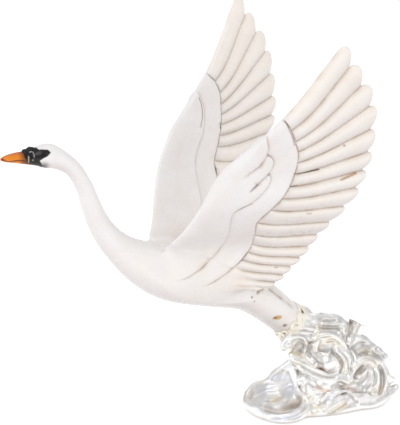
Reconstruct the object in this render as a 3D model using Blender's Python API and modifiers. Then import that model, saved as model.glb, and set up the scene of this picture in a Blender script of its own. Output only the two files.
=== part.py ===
"""Swan figurine: a white swan with raised wings, its tail set in a silvered splash of water.

The swan is one casting and the splash is another. The swan faces -X, +Z is up, and the origin
is on the flat underside of the splash. The figure's outlines are drawn in steps, with
DRAWN_HEIGHT of them from the underside to the wing tips.
"""
import math

import bmesh
import bpy
import numpy as np
from mathutils import Vector

# Driving dimensions, metres
FIGURE_HEIGHT = 0.418
COVERT_HALF = 0.0052
SECOND_COVERT_HALF = 0.0040
FEATHER_HALF = 0.0016
FEATHER_CROWN = 0.0016
COVERT_STEP = 0.0016
KNOB_RADIUS = 0.0042
SEAT_GAP = 0.0003

# The drawing's own height, in steps
DRAWN_HEIGHT = 418
STEP = FIGURE_HEIGHT / DRAWN_HEIGHT

# How fine the solids are: counts, and the cell in which the splash is fused, in steps
FEATHERS = 17
BODY_SIDES = 20
SPLASH_FACES = 3400
FUSE_CELL = 3

WHITE = (0.90, 0.88, 0.85, 1)
ORANGE = (0.80, 0.33, 0.05, 1)
BLACK = (0.02, 0.02, 0.022, 1)
SILVER = (0.80, 0.79, 0.77, 1)
# The swan's surfaces, each with its colour and roughness
SURFACES = {"white_resin": (WHITE, 0.25), "bill_orange": (ORANGE, 0.3), "mask_black": (BLACK, 0.3)}


def through(knots):
    """Return a smooth curve through knots, each a place on the curve and the values there."""
    table = np.array(knots, float)
    at, values = table[:, 0], table[:, 1:]
    slopes = np.gradient(values, at, axis=0)

    def curve(place):
        index = int(np.clip(np.searchsorted(at, place) - 1, 0, len(at) - 2))
        span = at[index + 1] - at[index]
        t = (place - at[index]) / span
        rise = values[index + 1] - values[index]
        start, end = slopes[index] * span, slopes[index + 1] * span
        bend = 3 * rise - 2 * start - end + t * (start + end - 2 * rise)
        return values[index] + t * (start + t * bend)

    return curve


# The wing seen from the side: feather number, then steps along X and Z
LEADING_EDGE = through([
    (0, -99, 328), (2, -108, 319), (4, -119, 309), (6, -130, 298), (8, -139, 283),
    (10, -147, 265), (12, -154, 247), (14, -161, 229), (15.5, -168, 215), (17, -181, 197)])
OUTER, INNER = 1, -1
FIRST_COVERT_EDGE = {
    OUTER: through([
        (0, -93, 333), (1, -90, 322), (2, -87, 312), (3, -85, 302), (5, -88, 286), (7, -94, 271),
        (8, -102, 262), (9, -115, 253), (10, -118, 242), (12, -117, 218), (13, -118, 205),
        (15, -131, 184), (17, -152, 166)]),
    INNER: through([
        (0, -93, 333), (1, -89, 325), (2, -86, 314), (3, -87, 303), (5, -90, 289), (7, -97, 275),
        (8, -101, 266), (9, -102, 255), (10, -102, 240), (12, -104, 221), (13, -110, 205),
        (15, -127, 184), (17, -150, 166)])}
SECOND_COVERT_EDGE = {
    OUTER: through([
        (0, -79, 349), (1, -71, 336), (2, -66, 324), (3, -62, 313), (5, -63, 289), (7, -73, 264),
        (8, -82, 252), (9, -90, 237), (10, -88, 220), (11, -87, 207), (13, -95, 188),
        (15, -109, 170), (17, -125, 157)]),
    INNER: through([
        (0, -79, 349), (1, -69, 338), (2, -64, 325), (3, -64, 313), (5, -66, 292), (7, -72, 270),
        (8, -77, 257), (9, -77, 243), (10, -77, 228), (11, -81, 211), (13, -91, 190),
        (15, -107, 170), (17, -125, 157)])}
FEATHER_ENDS = through([
    (0, -36, 415), (1, -24, 397), (3, 0, 356), (5, 5, 308), (7, -2, 270), (9, -19, 230),
    (11, -30, 198), (13, -46, 176), (15, -60, 159), (17, -84, 149)])
# How far each feather's round end stands past its notches, and how far its crease bows down
FEATHER_REACH = through([(0, 10), (2, 9), (4, 7), (7, 6.5), (10, 4), (14, 3.5), (17, 3)])
CREASE_BOW = through([(0, 2), (1, 6), (3, 4), (5, 3), (9, 6), (13, 4), (17, 2)])
# The wing's distance from the middle plane, by height, before its slant along X
WING_SPREAD = through([
    (91, 49), (131, 51), (161, 54), (181, 57), (207, 62), (231, 77), (254, 88), (293, 94),
    (331, 101), (381, 110), (431, 119)])
WING_SLANT = 0.25
# Shares that round the wing off: its nose, its feather ends, and its first and last feathers
NOSE_SHARE = 0.3
TIP_SHARE = 0.12
RIM_FEATHERS = 0.6
CROWN_SKEW = 1.25
# The grid of each of the wing's faces: zones, and whether an edge is read before its step
BEFORE, AFTER = 0, 1
WING_COLUMNS = [
    (0, BEFORE), (0.08, BEFORE), (0.3, BEFORE), (1, BEFORE), (1.03, AFTER), (2, BEFORE),
    (2.02, AFTER), (2.5, AFTER), (2.92, AFTER), (3, AFTER)]
FEATHER_ROWS = (0.12, 0.45, 0.84, 1.0)

# The body from bill to tail: steps along X and Z, half height across the spine, half width
SPINE = [
    (-327.5, 318.5, 1.2, 1.6), (-322, 318.4, 3.4, 4.2), (-313, 318.0, 5.0, 5.0),
    (-304, 317.0, 6.4, 5.4), (-296, 316.3, 8.0, 7.0), (-289, 316.2, 10.6, 9.0),
    (-281, 315.0, 11.8, 10.0), (-273, 311.3, 10.3, 9.4), (-266, 306.6, 8.9, 8.6),
    (-259.7, 301.3, 8.2, 8.2), (-254.5, 294.5, 8.1, 8.1), (-250.3, 286.6, 8.1, 8.1),
    (-245.9, 276.5, 8.5, 8.5), (-242.6, 265.5, 9.2, 9.2), (-239, 254.6, 9.9, 9.9),
    (-234.8, 243, 10.8, 10.8), (-229.5, 231.8, 11.8, 11.8), (-222.5, 221, 13.0, 13.2),
    (-213.5, 210, 15.2, 15.5), (-202, 199, 18.5, 19.5), (-188, 188.5, 23, 24),
    (-171, 178.5, 27, 28), (-150, 168.5, 28.5, 30), (-125, 159.5, 28, 29.5),
    (-99, 149.5, 26, 27), (-75, 138, 22.5, 24), (-57, 124, 20.5, 22),
    (-42, 110.5, 19.5, 20.5), (-28, 97, 18.5, 19), (-15, 84, 16, 16.5), (-6, 74, 11, 12)]
BILL_END = -299
MASK_END = -281
KNOB_PLACE = (-300, 0, 322.5)

# The splash, in steps: solid lumps as a middle and three radii
LUMPS = [
    (21, -6, 40, 40, 36, 45), (46, -10, 26, 36, 40, 38), (26, -16, 6, 60, 46, 18),
    (-36, -20, 1, 40, 33, 9), (-10, 0, 84, 19, 21, 17), (12, -32, 48, 12, 10, 13),
    (-18, -43, 30, 8, 8, 8), (48, -42, 30, 9, 9, 9), (28, 20, 24, 36, 26, 30),
    (-6, 20, 2, 30, 24, 13)]
# Rolls of water, each a run of places with the roll's radius there
ROLLS = [
    # the rim of the scoop in front, and its rising back
    [(-66, 4, 9, 4), (-73, -7, 6, 5), (-70, -28, 5, 6), (-57, -47, 5, 7), (-40, -53, 6, 7),
     (-27, -49, 7, 6), (-22, -40, 12, 6), (-20, -28, 20, 6), (-19, -14, 31, 6), (-18, -5, 40, 4)],
    [(-66, 4, 9, 4), (-56, 9, 13, 4), (-41, 8, 17, 5), (-33, 6, 24, 5), (-24, 0, 33, 6),
     (-18, -6, 42, 5)],
    [(-66, 4, 3, 6), (-54, 9, 6, 7), (-40, 9, 8, 9), (-24, 5, 14, 13), (-8, 0, 26, 16)],
    # the drip and the small bowl under the tail
    [(-26, -20, 84, 5), (-36, -23, 80, 4), (-42, -25, 75, 3), (-39, -25, 71, 3)],
    [(-34, -24, 74, 3), (-29, -26, 80, 3), (-19, -26, 80, 3), (-14, -28, 74, 3.5),
     (-16, -32, 64, 3.5), (-24, -33, 61, 3), (-32, -28, 65, 3)],
    # the great curl: its arch, its inner crescent and its lower lip
    [(-12, -20, 68, 4), (-7, -23, 76, 5), (3, -24, 80, 5), (13, -25, 79, 5), (25, -27, 74, 5),
     (33, -32, 62, 5), (38, -40, 46, 5), (34, -45, 33, 4)],
    [(8, -32, 62, 2), (15, -34, 62, 3), (24, -36, 58, 4), (30, -40, 49, 4), (30, -44, 38, 3)],
    [(-34, -28, 62, 3), (-28, -32, 57, 4), (-21, -37, 51, 5), (-8, -41, 42, 5), (2, -44, 37, 5),
     (11, -45, 36, 5), (20, -43, 40, 4), (24, -40, 47, 3)],
    # the crest that runs over the top and folds down
    [(-8, -10, 93, 5), (2, -12, 93, 5), (12, -14, 89, 6), (24, -15, 88, 6), (34, -18, 84, 5),
     (39, -23, 77, 5), (38, -28, 66, 4), (37, -32, 56, 3)],
    # the leaf and the lobes on the right
    [(38, -28, 58, 6), (46, -28, 63, 7), (55, -28, 63, 6), (63, -28, 60, 3)],
    [(56, -28, 56, 7), (66, -32, 50, 7), (74, -36, 44, 6), (81, -40, 38, 3)],
    # the swirl on the right
    [(31, -46, 30, 4), (36, -44, 39, 5), (47, -41, 43, 5), (60, -40, 42, 6), (70, -42, 35, 6),
     (73, -47, 24, 7), (66, -53, 14, 6), (55, -57, 9, 5)],
    [(38, -48, 28, 3), (44, -46, 35, 4), (54, -45, 36, 4), (61, -47, 29, 5), (58, -52, 19, 5),
     (48, -55, 13, 4)],
    [(70, -48, 17, 6), (78, -50, 20, 5), (85, -49, 19, 2.5)],
    [(68, -54, 8, 6), (78, -55, 9, 5), (86, -52, 11, 3)],
    # folds over the skirt
    [(-13, -54, 8, 4), (-6, -53, 14, 4), (3, -51, 19, 4), (13, -49, 22, 3)],
    [(2, -55, 12, 4), (13, -54, 17, 4), (24, -52, 19, 4), (36, -54, 12, 5), (50, -58, 7, 5)],
    # the skirt's rim
    [(-24, -50, 4, 6), (-8, -54, 4, 7), (12, -58, 4, 7), (33, -60, 5, 7), (52, -63, 5, 7),
     (66, -57, 6, 7), (75, -45, 7, 7), (80, -30, 7, 6), (78, -10, 6, 6), (72, 12, 6, 6),
     (58, 30, 6, 7), (36, 42, 6, 7), (10, 44, 6, 7), (-14, 34, 6, 7), (-30, 16, 6, 6)],
    # plainer rolls behind
    [(-12, 16, 84, 6), (6, 22, 78, 6), (22, 27, 66, 6), (34, 30, 50, 6), (38, 36, 32, 6),
     (30, 40, 16, 6)],
    [(24, 8, 80, 6), (40, 14, 71, 6), (54, 20, 56, 6), (62, 24, 38, 6), (64, 24, 20, 6)],
    [(-6, 16, 66, 5), (-2, 26, 54, 6), (8, 33, 40, 6), (17, 38, 26, 6), (12, 41, 12, 6)]]
# The flared cup at the top: its foot, its mouth, and its outline up the outside and down inside,
# as shares of its length with the radius there
CUP_FOOT, CUP_MOUTH = (40, -24, 62), (54, -21, 84)
CUP_OUTLINE = [(0, 4), (0.5, 6), (0.85, 9), (1, 11), (1, 8.5), (0.8, 5.7), (0.5, 1.2), (0.4, 0.6)]
# How finely the rolls and the cup are made before they are fused
ROLL_JOINS = 5
CUP_SIDES = 20
GROUND_DEPTH = 0.1


def material(name, colour, roughness, metallic=0.0):
    """Make a plain material from a colour, a roughness and a metallic value."""
    made = bpy.data.materials.new(name)
    made.use_nodes = True
    shader = made.node_tree.nodes["Principled BSDF"]
    shader.inputs["Base Color"].default_value = colour
    shader.inputs["Roughness"].default_value = roughness
    shader.inputs["Metallic"].default_value = metallic
    made.diffuse_color = colour
    return made


def collection(name):
    """Make a collection in the scene."""
    made = bpy.data.collections.new(name)
    bpy.context.scene.collection.children.link(made)
    return made


def mesh_object(name, build, where):
    """Make an object whose mesh is filled by build, with its faces pointing out."""
    mesh = bpy.data.meshes.new(name)
    work = bmesh.new()
    build(work)
    bmesh.ops.recalc_face_normals(work, faces=work.faces)
    work.to_mesh(mesh)
    work.free()
    made = bpy.data.objects.new(name, mesh)
    where.objects.link(made)
    return made


def as_helper(item):
    """Keep an object out of the model: it only shapes another."""
    item.hide_render = True
    item.display_type = "WIRE"
    return item


def combine(target, tool, operation):
    """Join a helper to an object, or cut it away."""
    change = target.modifiers.new(tool.name, "BOOLEAN")
    change.operation = operation
    change.object = as_helper(tool)
    change.solver = "EXACT"


def skin(work, rings):
    """Join rings of equal counts into a closed tube."""
    for ring, following in zip(rings, rings[1:]):
        for index, corner in enumerate(ring):
            beside = (index + 1) % len(ring)
            work.faces.new((corner, ring[beside], following[beside], following[index]))
    work.faces.new(rings[0][::-1])
    work.faces.new(rings[-1])


def turns_of(sides):
    """List the angles of evenly spaced places round a circle."""
    return [2 * math.pi * side / sides for side in range(sides)]


def spine_rings(grow=0.0):
    """Give the points of each ring round the spine, square to its path and grown by grow."""
    path = [Vector((x, 0, z)) for x, z, _, _ in SPINE]
    beside = Vector((0, 1, 0))
    rings = []
    for index, (_, _, half_height, half_width) in enumerate(SPINE):
        ahead = path[min(index + 1, len(path) - 1)] - path[max(index - 1, 0)]
        up = Vector((-ahead.z, 0, ahead.x)).normalized()
        rings.append([
            path[index] * STEP + up * math.sin(turn) * (half_height * STEP + grow)
            + beside * math.cos(turn) * (half_width * STEP + grow) for turn in turns_of(BODY_SIDES)])
    return rings


def surface_index(name):
    """Give the place of a surface in the swan's list of materials."""
    return list(SURFACES).index(name)


def build_body(work):
    """Loft the head, neck, body and tail along the spine, and mark the bill and the mask."""
    rings = [[work.verts.new(point) for point in ring] for ring in spine_rings()]
    skin(work, rings)
    for face in work.faces:
        along = face.calc_center_median().x / STEP
        if along < BILL_END:
            face.material_index = surface_index("bill_orange")
        elif along < MASK_END:
            face.material_index = surface_index("mask_black")


def build_knob(work):
    """Make the knob at the root of the bill."""
    made = bmesh.ops.create_icosphere(work, subdivisions=2, radius=KNOB_RADIUS)
    bmesh.ops.translate(work, verts=made["verts"], vec=Vector(KNOB_PLACE) * STEP)
    for face in work.faces:
        face.material_index = surface_index("mask_black")


def feather_end(number):
    """Give the wing's rear outline: round feather ends between notches."""
    end = FEATHER_ENDS(number)
    along = end - SECOND_COVERT_EDGE[OUTER](number)
    bulge = math.sin(math.pi * (number % 1) ** 0.75) ** 0.7
    return end + along / np.linalg.norm(along) * FEATHER_REACH(number)[0] * bulge


def wing_side_view(number, zone, side):
    """Place a point of one of the wing's two faces in the side view.

    Zone 0 to 1 runs from the leading edge over the first coverts, 1 to 2 over the second
    coverts, and 2 to 3 along the flight feathers.
    """
    edges = (LEADING_EDGE(number), FIRST_COVERT_EDGE[side](number),
             SECOND_COVERT_EDGE[side](number), feather_end(number))
    band = min(int(zone), 2)
    t = zone - band
    place = edges[band] * (1 - t) + edges[band + 1] * t
    if band == 2:
        along = edges[3] - edges[2]
        across = np.array((along[1], -along[0])) / np.linalg.norm(along)
        place = place + across * CREASE_BOW(number)[0] * 4 * t * (1 - t) * (1 - t)
    return place


def rounded(t):
    """Rise from 0 to 1 like a quarter circle."""
    t = min(max(t, 0.0), 1.0)
    return math.sqrt(1 - (1 - t) ** 2)


def wing_half_thickness(number, zone, side_of_edge):
    """Give the wing's half thickness; a zone that is an edge is read before or after its step."""
    if zone < 1 or (zone == 1 and side_of_edge == BEFORE):
        half = COVERT_HALF * rounded(zone / NOSE_SHARE)
    elif zone < 2 or (zone == 2 and side_of_edge == BEFORE):
        half = SECOND_COVERT_HALF - COVERT_STEP * (2 - zone) ** 2
    else:
        crown = math.sin(math.pi * (number % 1) ** CROWN_SKEW)
        half = (FEATHER_HALF + FEATHER_CROWN * crown) * rounded((3 - zone) / TIP_SHARE)
    return half * rounded(number / RIM_FEATHERS) * rounded((FEATHERS - number) / RIM_FEATHERS)


def wing_rows():
    """List feather numbers: each crease and three places across each feather."""
    return [0.0] + [feather + part for feather in range(FEATHERS) for part in FEATHER_ROWS]


def build_wing(work):
    """Build the right wing as two faces that share their rim."""
    rows = wing_rows()
    faces = {}
    for side in (OUTER, INNER):
        grid = []
        for number in rows:
            line = []
            for zone, side_of_edge in WING_COLUMNS:
                x, z = wing_side_view(number, zone, side)
                middle = (WING_SLANT * x + WING_SPREAD(z)[0]) * STEP
                half = wing_half_thickness(number, zone, side_of_edge)
                line.append(work.verts.new((x * STEP, middle + side * half, z * STEP)))
            grid.append(line)
        faces[side] = grid
    for grid in faces.values():
        for line, following in zip(grid, grid[1:]):
            for index in range(len(line) - 1):
                work.faces.new((line[index], line[index + 1], following[index + 1], following[index]))
    bmesh.ops.remove_doubles(work, verts=work.verts, dist=1e-6)
    bmesh.ops.triangulate(work, faces=work.faces)


def add_lump(work, lump):
    """Add a solid lump to the splash."""
    centre, radii = Vector(lump[:3]), lump[3:]
    made = bmesh.ops.create_icosphere(work, subdivisions=3, radius=1)
    for corner in made["verts"]:
        corner.co = Vector([
            (centre[axis] + corner.co[axis] * radii[axis]) * STEP for axis in range(3)])


def add_roll(work, roll):
    """Add a roll of water: a tube of changing radius through its places."""
    route = through([(index, *place) for index, place in enumerate(roll)])
    places = [route(index / ROLL_JOINS) for index in range((len(roll) - 1) * ROLL_JOINS + 1)]
    data = bpy.data.curves.new("roll", "CURVE")
    data.dimensions = "3D"
    data.bevel_depth = STEP
    data.bevel_resolution = 2
    data.use_fill_caps = True
    line = data.splines.new("POLY")
    line.points.add(len(places) - 1)
    for point, (x, y, z, radius) in zip(line.points, places):
        point.co = (x * STEP, y * STEP, z * STEP, 1)
        point.radius = radius
    holder = bpy.data.objects.new("roll", data)
    work.from_mesh(holder.to_mesh())
    holder.to_mesh_clear()
    bpy.data.objects.remove(holder)
    bpy.data.curves.remove(data)


def add_cup(work):
    """Add the flared cup, turned round the line from its foot to its mouth."""
    foot, mouth = Vector(CUP_FOOT), Vector(CUP_MOUTH)
    axis = (mouth - foot).normalized()
    across = axis.cross(Vector((0, 1, 0))).normalized()
    beside = axis.cross(across)
    rings = []
    for share, radius in CUP_OUTLINE:
        middle = foot.lerp(mouth, share)
        rings.append([work.verts.new(
            (middle + (across * math.cos(turn) + beside * math.sin(turn)) * radius) * STEP)
            for turn in turns_of(CUP_SIDES)])
    skin(work, rings)


def build_splash(work):
    """Gather the splash's lumps, rolls and cup."""
    for lump in LUMPS:
        add_lump(work, lump)
    for roll in ROLLS:
        add_roll(work, roll)
    add_cup(work)
    bmesh.ops.remove_doubles(work, verts=work.verts, dist=1e-6)


def build_ground_cut(work):
    """Make the block below the underside that cuts the splash off flat."""
    bmesh.ops.create_cube(work, size=1)
    for corner in work.verts:
        corner.co.z = (corner.co.z - 0.5) * GROUND_DEPTH


def build_tail_seat(work):
    """Make the body's form with the tail's clearance, to cut the tail's seat in the splash."""
    rings = spine_rings(SEAT_GAP)
    ahead = (sum(rings[-1], Vector()) - sum(rings[-2], Vector())).normalized()
    rings[-1] = [point + ahead * SEAT_GAP for point in rings[-1]]
    skin(work, [[work.verts.new(point) for point in ring] for ring in rings])


def fuse_splash(item):
    """Fuse the splash's pieces into one skin and thin out its faces."""
    fuse = item.modifiers.new("fuse", "REMESH")
    fuse.mode = "VOXEL"
    fuse.voxel_size = FUSE_CELL * STEP
    thin = item.modifiers.new("thin", "DECIMATE")
    faces = len(item.evaluated_get(bpy.context.evaluated_depsgraph_get()).to_mesh().polygons)
    thin.ratio = min(1, SPLASH_FACES / (2 * faces))


def mirrored(item, name, where):
    """Copy an object to the other side of the middle plane."""
    mesh = item.data.copy()
    for corner in mesh.vertices:
        corner.co.y = -corner.co.y
    mesh.flip_normals()
    made = bpy.data.objects.new(name, mesh)
    where.objects.link(made)
    return made


def main():
    """Build the figurine."""
    for item in list(bpy.data.objects):
        bpy.data.objects.remove(item, do_unlink=True)
    figurine = collection("swan_figurine")
    helpers = collection("cutters")

    swan = mesh_object("swan", build_body, figurine)
    right_wing = mesh_object("right_wing", build_wing, helpers)
    combine(swan, right_wing, "UNION")
    combine(swan, mirrored(right_wing, "left_wing", helpers), "UNION")
    combine(swan, mesh_object("knob", build_knob, helpers), "UNION")
    for name, (colour, roughness) in SURFACES.items():
        swan.data.materials.append(material(name, colour, roughness))

    splash = mesh_object("wave_base", build_splash, figurine)
    fuse_splash(splash)
    combine(splash, mesh_object("ground_cut", build_ground_cut, helpers), "DIFFERENCE")
    combine(splash, mesh_object("tail_seat", build_tail_seat, helpers), "DIFFERENCE")
    splash.data.materials.append(material("silver_leaf", SILVER, 0.3, 1.0))


main()
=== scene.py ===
"""Swan figurine, dressed: the fine feathers and head of the swan, the folds of its silvered splash,
their finishes, and a plain studio round them.

Outlines are drawn in steps, as in the part's source. One step is worked out from the frame, and
every length here is in steps unless a comment says metres or the picture's pixels.
"""

import math
import random

import bmesh
import bpy
import numpy as np
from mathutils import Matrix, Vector, kdtree, noise
from mathutils.bvhtree import BVHTree


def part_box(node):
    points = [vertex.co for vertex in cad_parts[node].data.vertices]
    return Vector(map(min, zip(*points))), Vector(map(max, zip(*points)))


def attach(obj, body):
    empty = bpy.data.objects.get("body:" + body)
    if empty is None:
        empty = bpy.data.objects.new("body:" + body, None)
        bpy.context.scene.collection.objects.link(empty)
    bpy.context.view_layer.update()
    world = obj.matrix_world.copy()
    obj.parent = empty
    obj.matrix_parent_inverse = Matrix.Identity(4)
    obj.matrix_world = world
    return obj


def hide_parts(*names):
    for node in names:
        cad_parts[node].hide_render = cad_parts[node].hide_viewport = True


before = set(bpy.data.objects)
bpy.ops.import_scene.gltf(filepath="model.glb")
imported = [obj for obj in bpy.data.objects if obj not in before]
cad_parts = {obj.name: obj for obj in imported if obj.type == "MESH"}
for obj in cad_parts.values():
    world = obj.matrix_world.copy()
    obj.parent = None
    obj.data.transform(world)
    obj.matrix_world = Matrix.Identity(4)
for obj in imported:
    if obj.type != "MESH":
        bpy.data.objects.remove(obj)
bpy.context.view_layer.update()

# The bill's tip in steps gives the size of a step in metres
BILL_TIP = -327.5
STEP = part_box("swan")[0].x / BILL_TIP

# The camera: degrees round and above the swan, and steps from the place that it looks at
CAMERA_AZIMUTH, CAMERA_ELEVATION, CAMERA_DISTANCE = -25, 22, 1400
CAMERA_TARGET = (-125, 0, 231.5)
SENSOR = 36
PICTURE_SIZE = (400, 425)


def camera_axes():
    """Give the directions to the right, up and back of the camera."""
    azimuth, elevation = math.radians(CAMERA_AZIMUTH), math.radians(CAMERA_ELEVATION)
    right = np.array((math.cos(azimuth), math.sin(azimuth), 0))
    back = np.array((math.sin(azimuth) * math.cos(elevation), -math.cos(azimuth) * math.cos(elevation),
                     math.sin(elevation)))
    return right, np.cross(back, right), back


def pictured(points):
    """Give where points in steps are in the picture, in its pixels from the left and from the top."""
    right, up, back = camera_axes()
    offset = points - CAMERA_TARGET
    scale = CAMERA_DISTANCE / (CAMERA_DISTANCE - offset @ back)
    return np.stack((PICTURE_SIZE[0] / 2 + offset @ right * scale,
                     PICTURE_SIZE[1] / 2 - offset @ up * scale), axis=1)


def through(knots):
    """Return a smooth curve through knots, each a place on the curve and the values there."""
    table = np.array(knots, float)
    at, values = table[:, 0], table[:, 1:]
    slopes = np.gradient(values, at, axis=0)

    def curve(place):
        place = np.asarray(place, float)
        index = np.clip(np.searchsorted(at, place) - 1, 0, len(at) - 2)
        span = (at[index + 1] - at[index])[..., None]
        t = (place - at[index])[..., None] / span
        rise = values[index + 1] - values[index]
        start, end = slopes[index] * span, slopes[index + 1] * span
        bend = 3 * rise - 2 * start - end + t * (start + end - 2 * rise)
        return values[index] + t * (start + t * bend)

    return curve


# The wing seen from the side: feather number, then steps along X and Z
LEADING_EDGE = through([
    (0, -99, 328), (2, -108, 319), (4, -119, 309), (6, -130, 298), (8, -139, 283),
    (10, -147, 265), (12, -154, 247), (14, -161, 229), (15.5, -168, 215), (17, -181, 197)])
OUTER, INNER = 1, -1
# The rear edges of the first and the second coverts on both faces, as the leading edge
FIRST_COVERT_EDGE = {
    OUTER: through([
        (0, -94, 333), (0.7, -92, 325), (1.2, -90.5, 318), (1.7, -91.3, 313), (2.1, -88, 310),
        (2.7, -84.5, 305), (3.3, -84.8, 298), (3.8, -87.6, 292.5), (4.3, -85.8, 289),
        (5, -85.6, 283.5), (5.8, -88.5, 277), (7, -94, 270), (8, -102, 262), (9, -115.5, 254),
        (9.5, -118.5, 249), (10, -118.5, 242), (12, -116, 217), (13, -120, 205),
        (14, -127, 194), (15, -134.5, 185), (17, -152, 166)]),
    INNER: through([
        (0, -93, 333), (1, -89, 325), (2, -86, 314), (3, -87, 303), (5, -90, 289), (7, -97, 275),
        (8, -101, 266), (9, -102, 255), (10, -102, 240), (12, -104, 221), (13, -110, 205),
        (15, -127, 184), (17, -152, 166)])}
SECOND_COVERT_EDGE = {
    OUTER: through([
        (0, -79, 349), (1, -71, 336), (2, -66, 324), (3, -62, 313), (5, -63, 289), (7, -73, 264),
        (8, -82, 252), (9, -91.5, 237), (10, -89, 220), (11, -88, 207),
        (13, -96.5, 189.5), (15, -113, 172.5), (17, -125, 157)]),
    INNER: through([
        (0, -79, 349), (1, -69, 338), (2, -64, 325), (3, -64, 313), (5, -66, 292), (7, -72, 270),
        (8, -77, 257), (9, -77, 243), (10, -77, 228), (11, -81, 211), (13, -91, 190),
        (15, -107, 170), (17, -125, 157)])}
# The notches between the flight feathers' ends, how far the round ends reach past them, and how far
# the creases between the feathers bow down
FEATHER_ENDS = through([
    (0, -36, 415), (1, -24, 397), (3, 0, 356), (5, 5, 308), (7, -2, 270), (9, -19, 230),
    (11, -30, 198), (13, -46, 176), (15, -60, 159), (17, -84, 149)])
FEATHER_REACH = through([(0, 10), (2, 9), (4, 7), (7, 6.5), (10, 4), (14, 3.5), (17, 3)])
CREASE_BOW = through([(0, 2), (1, 6), (3, 4), (5, 3), (9, 6), (13, 4), (17, 2)])
# How far out from the middle the wing is: steps along Y by its height, and more of them along X
WING_SPREAD = through([
    (91, 49), (131, 51), (161, 54), (181, 57), (207, 62), (231, 77), (254, 88), (293, 94),
    (331, 101), (381, 110), (431, 119)])
WING_SLANT = 0.25
# Rounding off: shares of a band at the leading edge and the feathers' tips, and feathers at the rims
NOSE_SHARE = 0.3
TIP_SHARE = 0.12
RIM_FEATHERS = 0.6

# Half thicknesses of the wing's three layers, and how much the second thins towards the first
COVERT_HALF = 5.2
SECOND_COVERT_HALF = 4.0
COVERT_STEP = 1.6
FEATHER_HALF = 1.5
# The share of a flight feather's half thickness that is left at its creases
CREASE_SHARE = 0.75
# How a flight feather's ridge leans, how round it is and how it tapers, and the same of its end
RIDGE_LEAN, RIDGE_ROUND, RIDGE_TAPER = 0.8, 0.62, 0.1
END_LEAN, END_ROUND = 0.75, 0.7
# The relief of a flight feather: its share of the feather's width, its least and its most
RELIEF_SHARE, RELIEF_LEAST, RELIEF_MOST = 0.31, 1.3, 4.4
# The rounded lips of the two coverts, and the crease below each: its depth and width
FIRST_LIP, SECOND_LIP = 3.0, 2.5
CREASE_DEPTH, CREASE_WIDTH = 0.55, 0.55

# Rows across one feather, closer together at its creases, and the rows that round off the first
FEATHER_SHARES = (0, 0.022, 0.06, 0.12, 0.21, 0.33, 0.47, 0.61, 0.74, 0.86, 0.94, 0.982)
FIRST_SHARES = (0, 0.004, 0.015, 0.035, 0.065, 0.11, 0.17, 0.25, 0.34, 0.45, 0.57, 0.69, 0.8, 0.89,
                0.95, 0.982)
FEATHERS = 17
# Columns of each band of the wing: shares of its width, between places a few steps from its edges
NOSE_SHARES = (0, 0.004, 0.016, 0.036, 0.064, 0.1, 0.145, 0.2, 0.26, 0.33, 0.41, 0.5, 0.6, 0.7, 0.8,
               0.9)
FIRST_LIP_PLACES = (3.0, 2.1, 1.3, 0.6, 0.15, 0)
SECOND_START = (0.3, 0.7, 1.2)
SECOND_LIP_PLACES = (2.5, 1.7, 1.0, 0.45, 0.12, 0)
FEATHER_START = (0.3, 0.7, 1.2)
TIP_PLACES = (2.6, 1.7, 1.0, 0.5, 0.15, 0)
SECOND_COLUMNS, FEATHER_COLUMNS = 7, 16

# The body from bill to tail: steps along X and Z, half height across the spine, half width
SPINE = [
    (-327.5, 318.5, 1.2, 1.6), (-322, 318.4, 3.4, 4.2), (-313, 318.0, 5.0, 5.0),
    (-304, 317.0, 6.4, 5.4), (-296, 316.3, 8.0, 7.0), (-289, 316.2, 10.6, 9.0),
    (-281, 315.0, 11.8, 10.0), (-273, 311.3, 10.3, 9.4), (-266, 306.6, 8.9, 8.6),
    (-259.7, 301.3, 8.2, 8.2), (-254.5, 294.5, 8.1, 8.1), (-250.3, 286.6, 8.1, 8.1),
    (-245.9, 276.5, 8.5, 8.5), (-242.6, 265.5, 9.2, 9.2), (-239, 254.6, 9.9, 9.9),
    (-234.8, 243, 10.8, 10.8), (-229.5, 231.8, 11.8, 11.8), (-222.5, 221, 13.0, 13.2),
    (-213.5, 210, 15.2, 15.5), (-202, 199, 18.5, 19.5), (-188, 188.5, 23, 24),
    (-171, 178.5, 27, 28), (-150, 168.5, 28.5, 30), (-125, 159.5, 28, 29.5),
    (-99, 149.5, 26, 27), (-75, 138, 22.5, 24), (-57, 124, 20.5, 22),
    (-42, 110.5, 19.5, 20.5), (-28, 97, 18.5, 19), (-15, 84, 16, 16.5), (-6, 74, 11, 12)]
BODY_SIDES = 72
# Places on the spine that its length is measured by, and how near the places are that give its slope
SPINE_SAMPLES = 4000
SPINE_NUDGE = 0.02
# Spacing of the rings by their place along X: close at the head, wide on the body
RING_SPACING = through([(-330, 0.8), (-278, 0.9), (-262, 1.9), (-200, 2.8), (0, 2.8)])


def rounded(t):
    """Rise from 0 to 1 like a quarter circle."""
    return np.sqrt(1 - (1 - np.clip(t, 0, 1)) ** 2)


def smooth_step(t):
    """Rise smoothly from 0 to 1."""
    t = np.clip(t, 0, 1)
    return t * t * (3 - 2 * t)


def ramp(value, start, length):
    """Rise smoothly from 0 to 1 over a length from a start; a length under 0 runs the other way."""
    return smooth_step((value - start) / length)


def bell(away, width):
    """Fall smoothly from 1 at no distance, the faster the less the width."""
    return np.exp(-(away / width) ** 2)


def away_from(places, middle):
    """Give each place's distance to a middle."""
    return np.linalg.norm(places - middle, axis=1)


def feather_end(number):
    """Give the wing's rear outline: round feather ends between notches."""
    end = FEATHER_ENDS(number)
    along = end - SECOND_COVERT_EDGE[OUTER](number)
    along /= np.linalg.norm(along, axis=-1, keepdims=True)
    bulge = np.sin(math.pi * (number % 1) ** END_LEAN) ** END_ROUND
    return end + along * FEATHER_REACH(number) * bulge[:, None]


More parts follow.
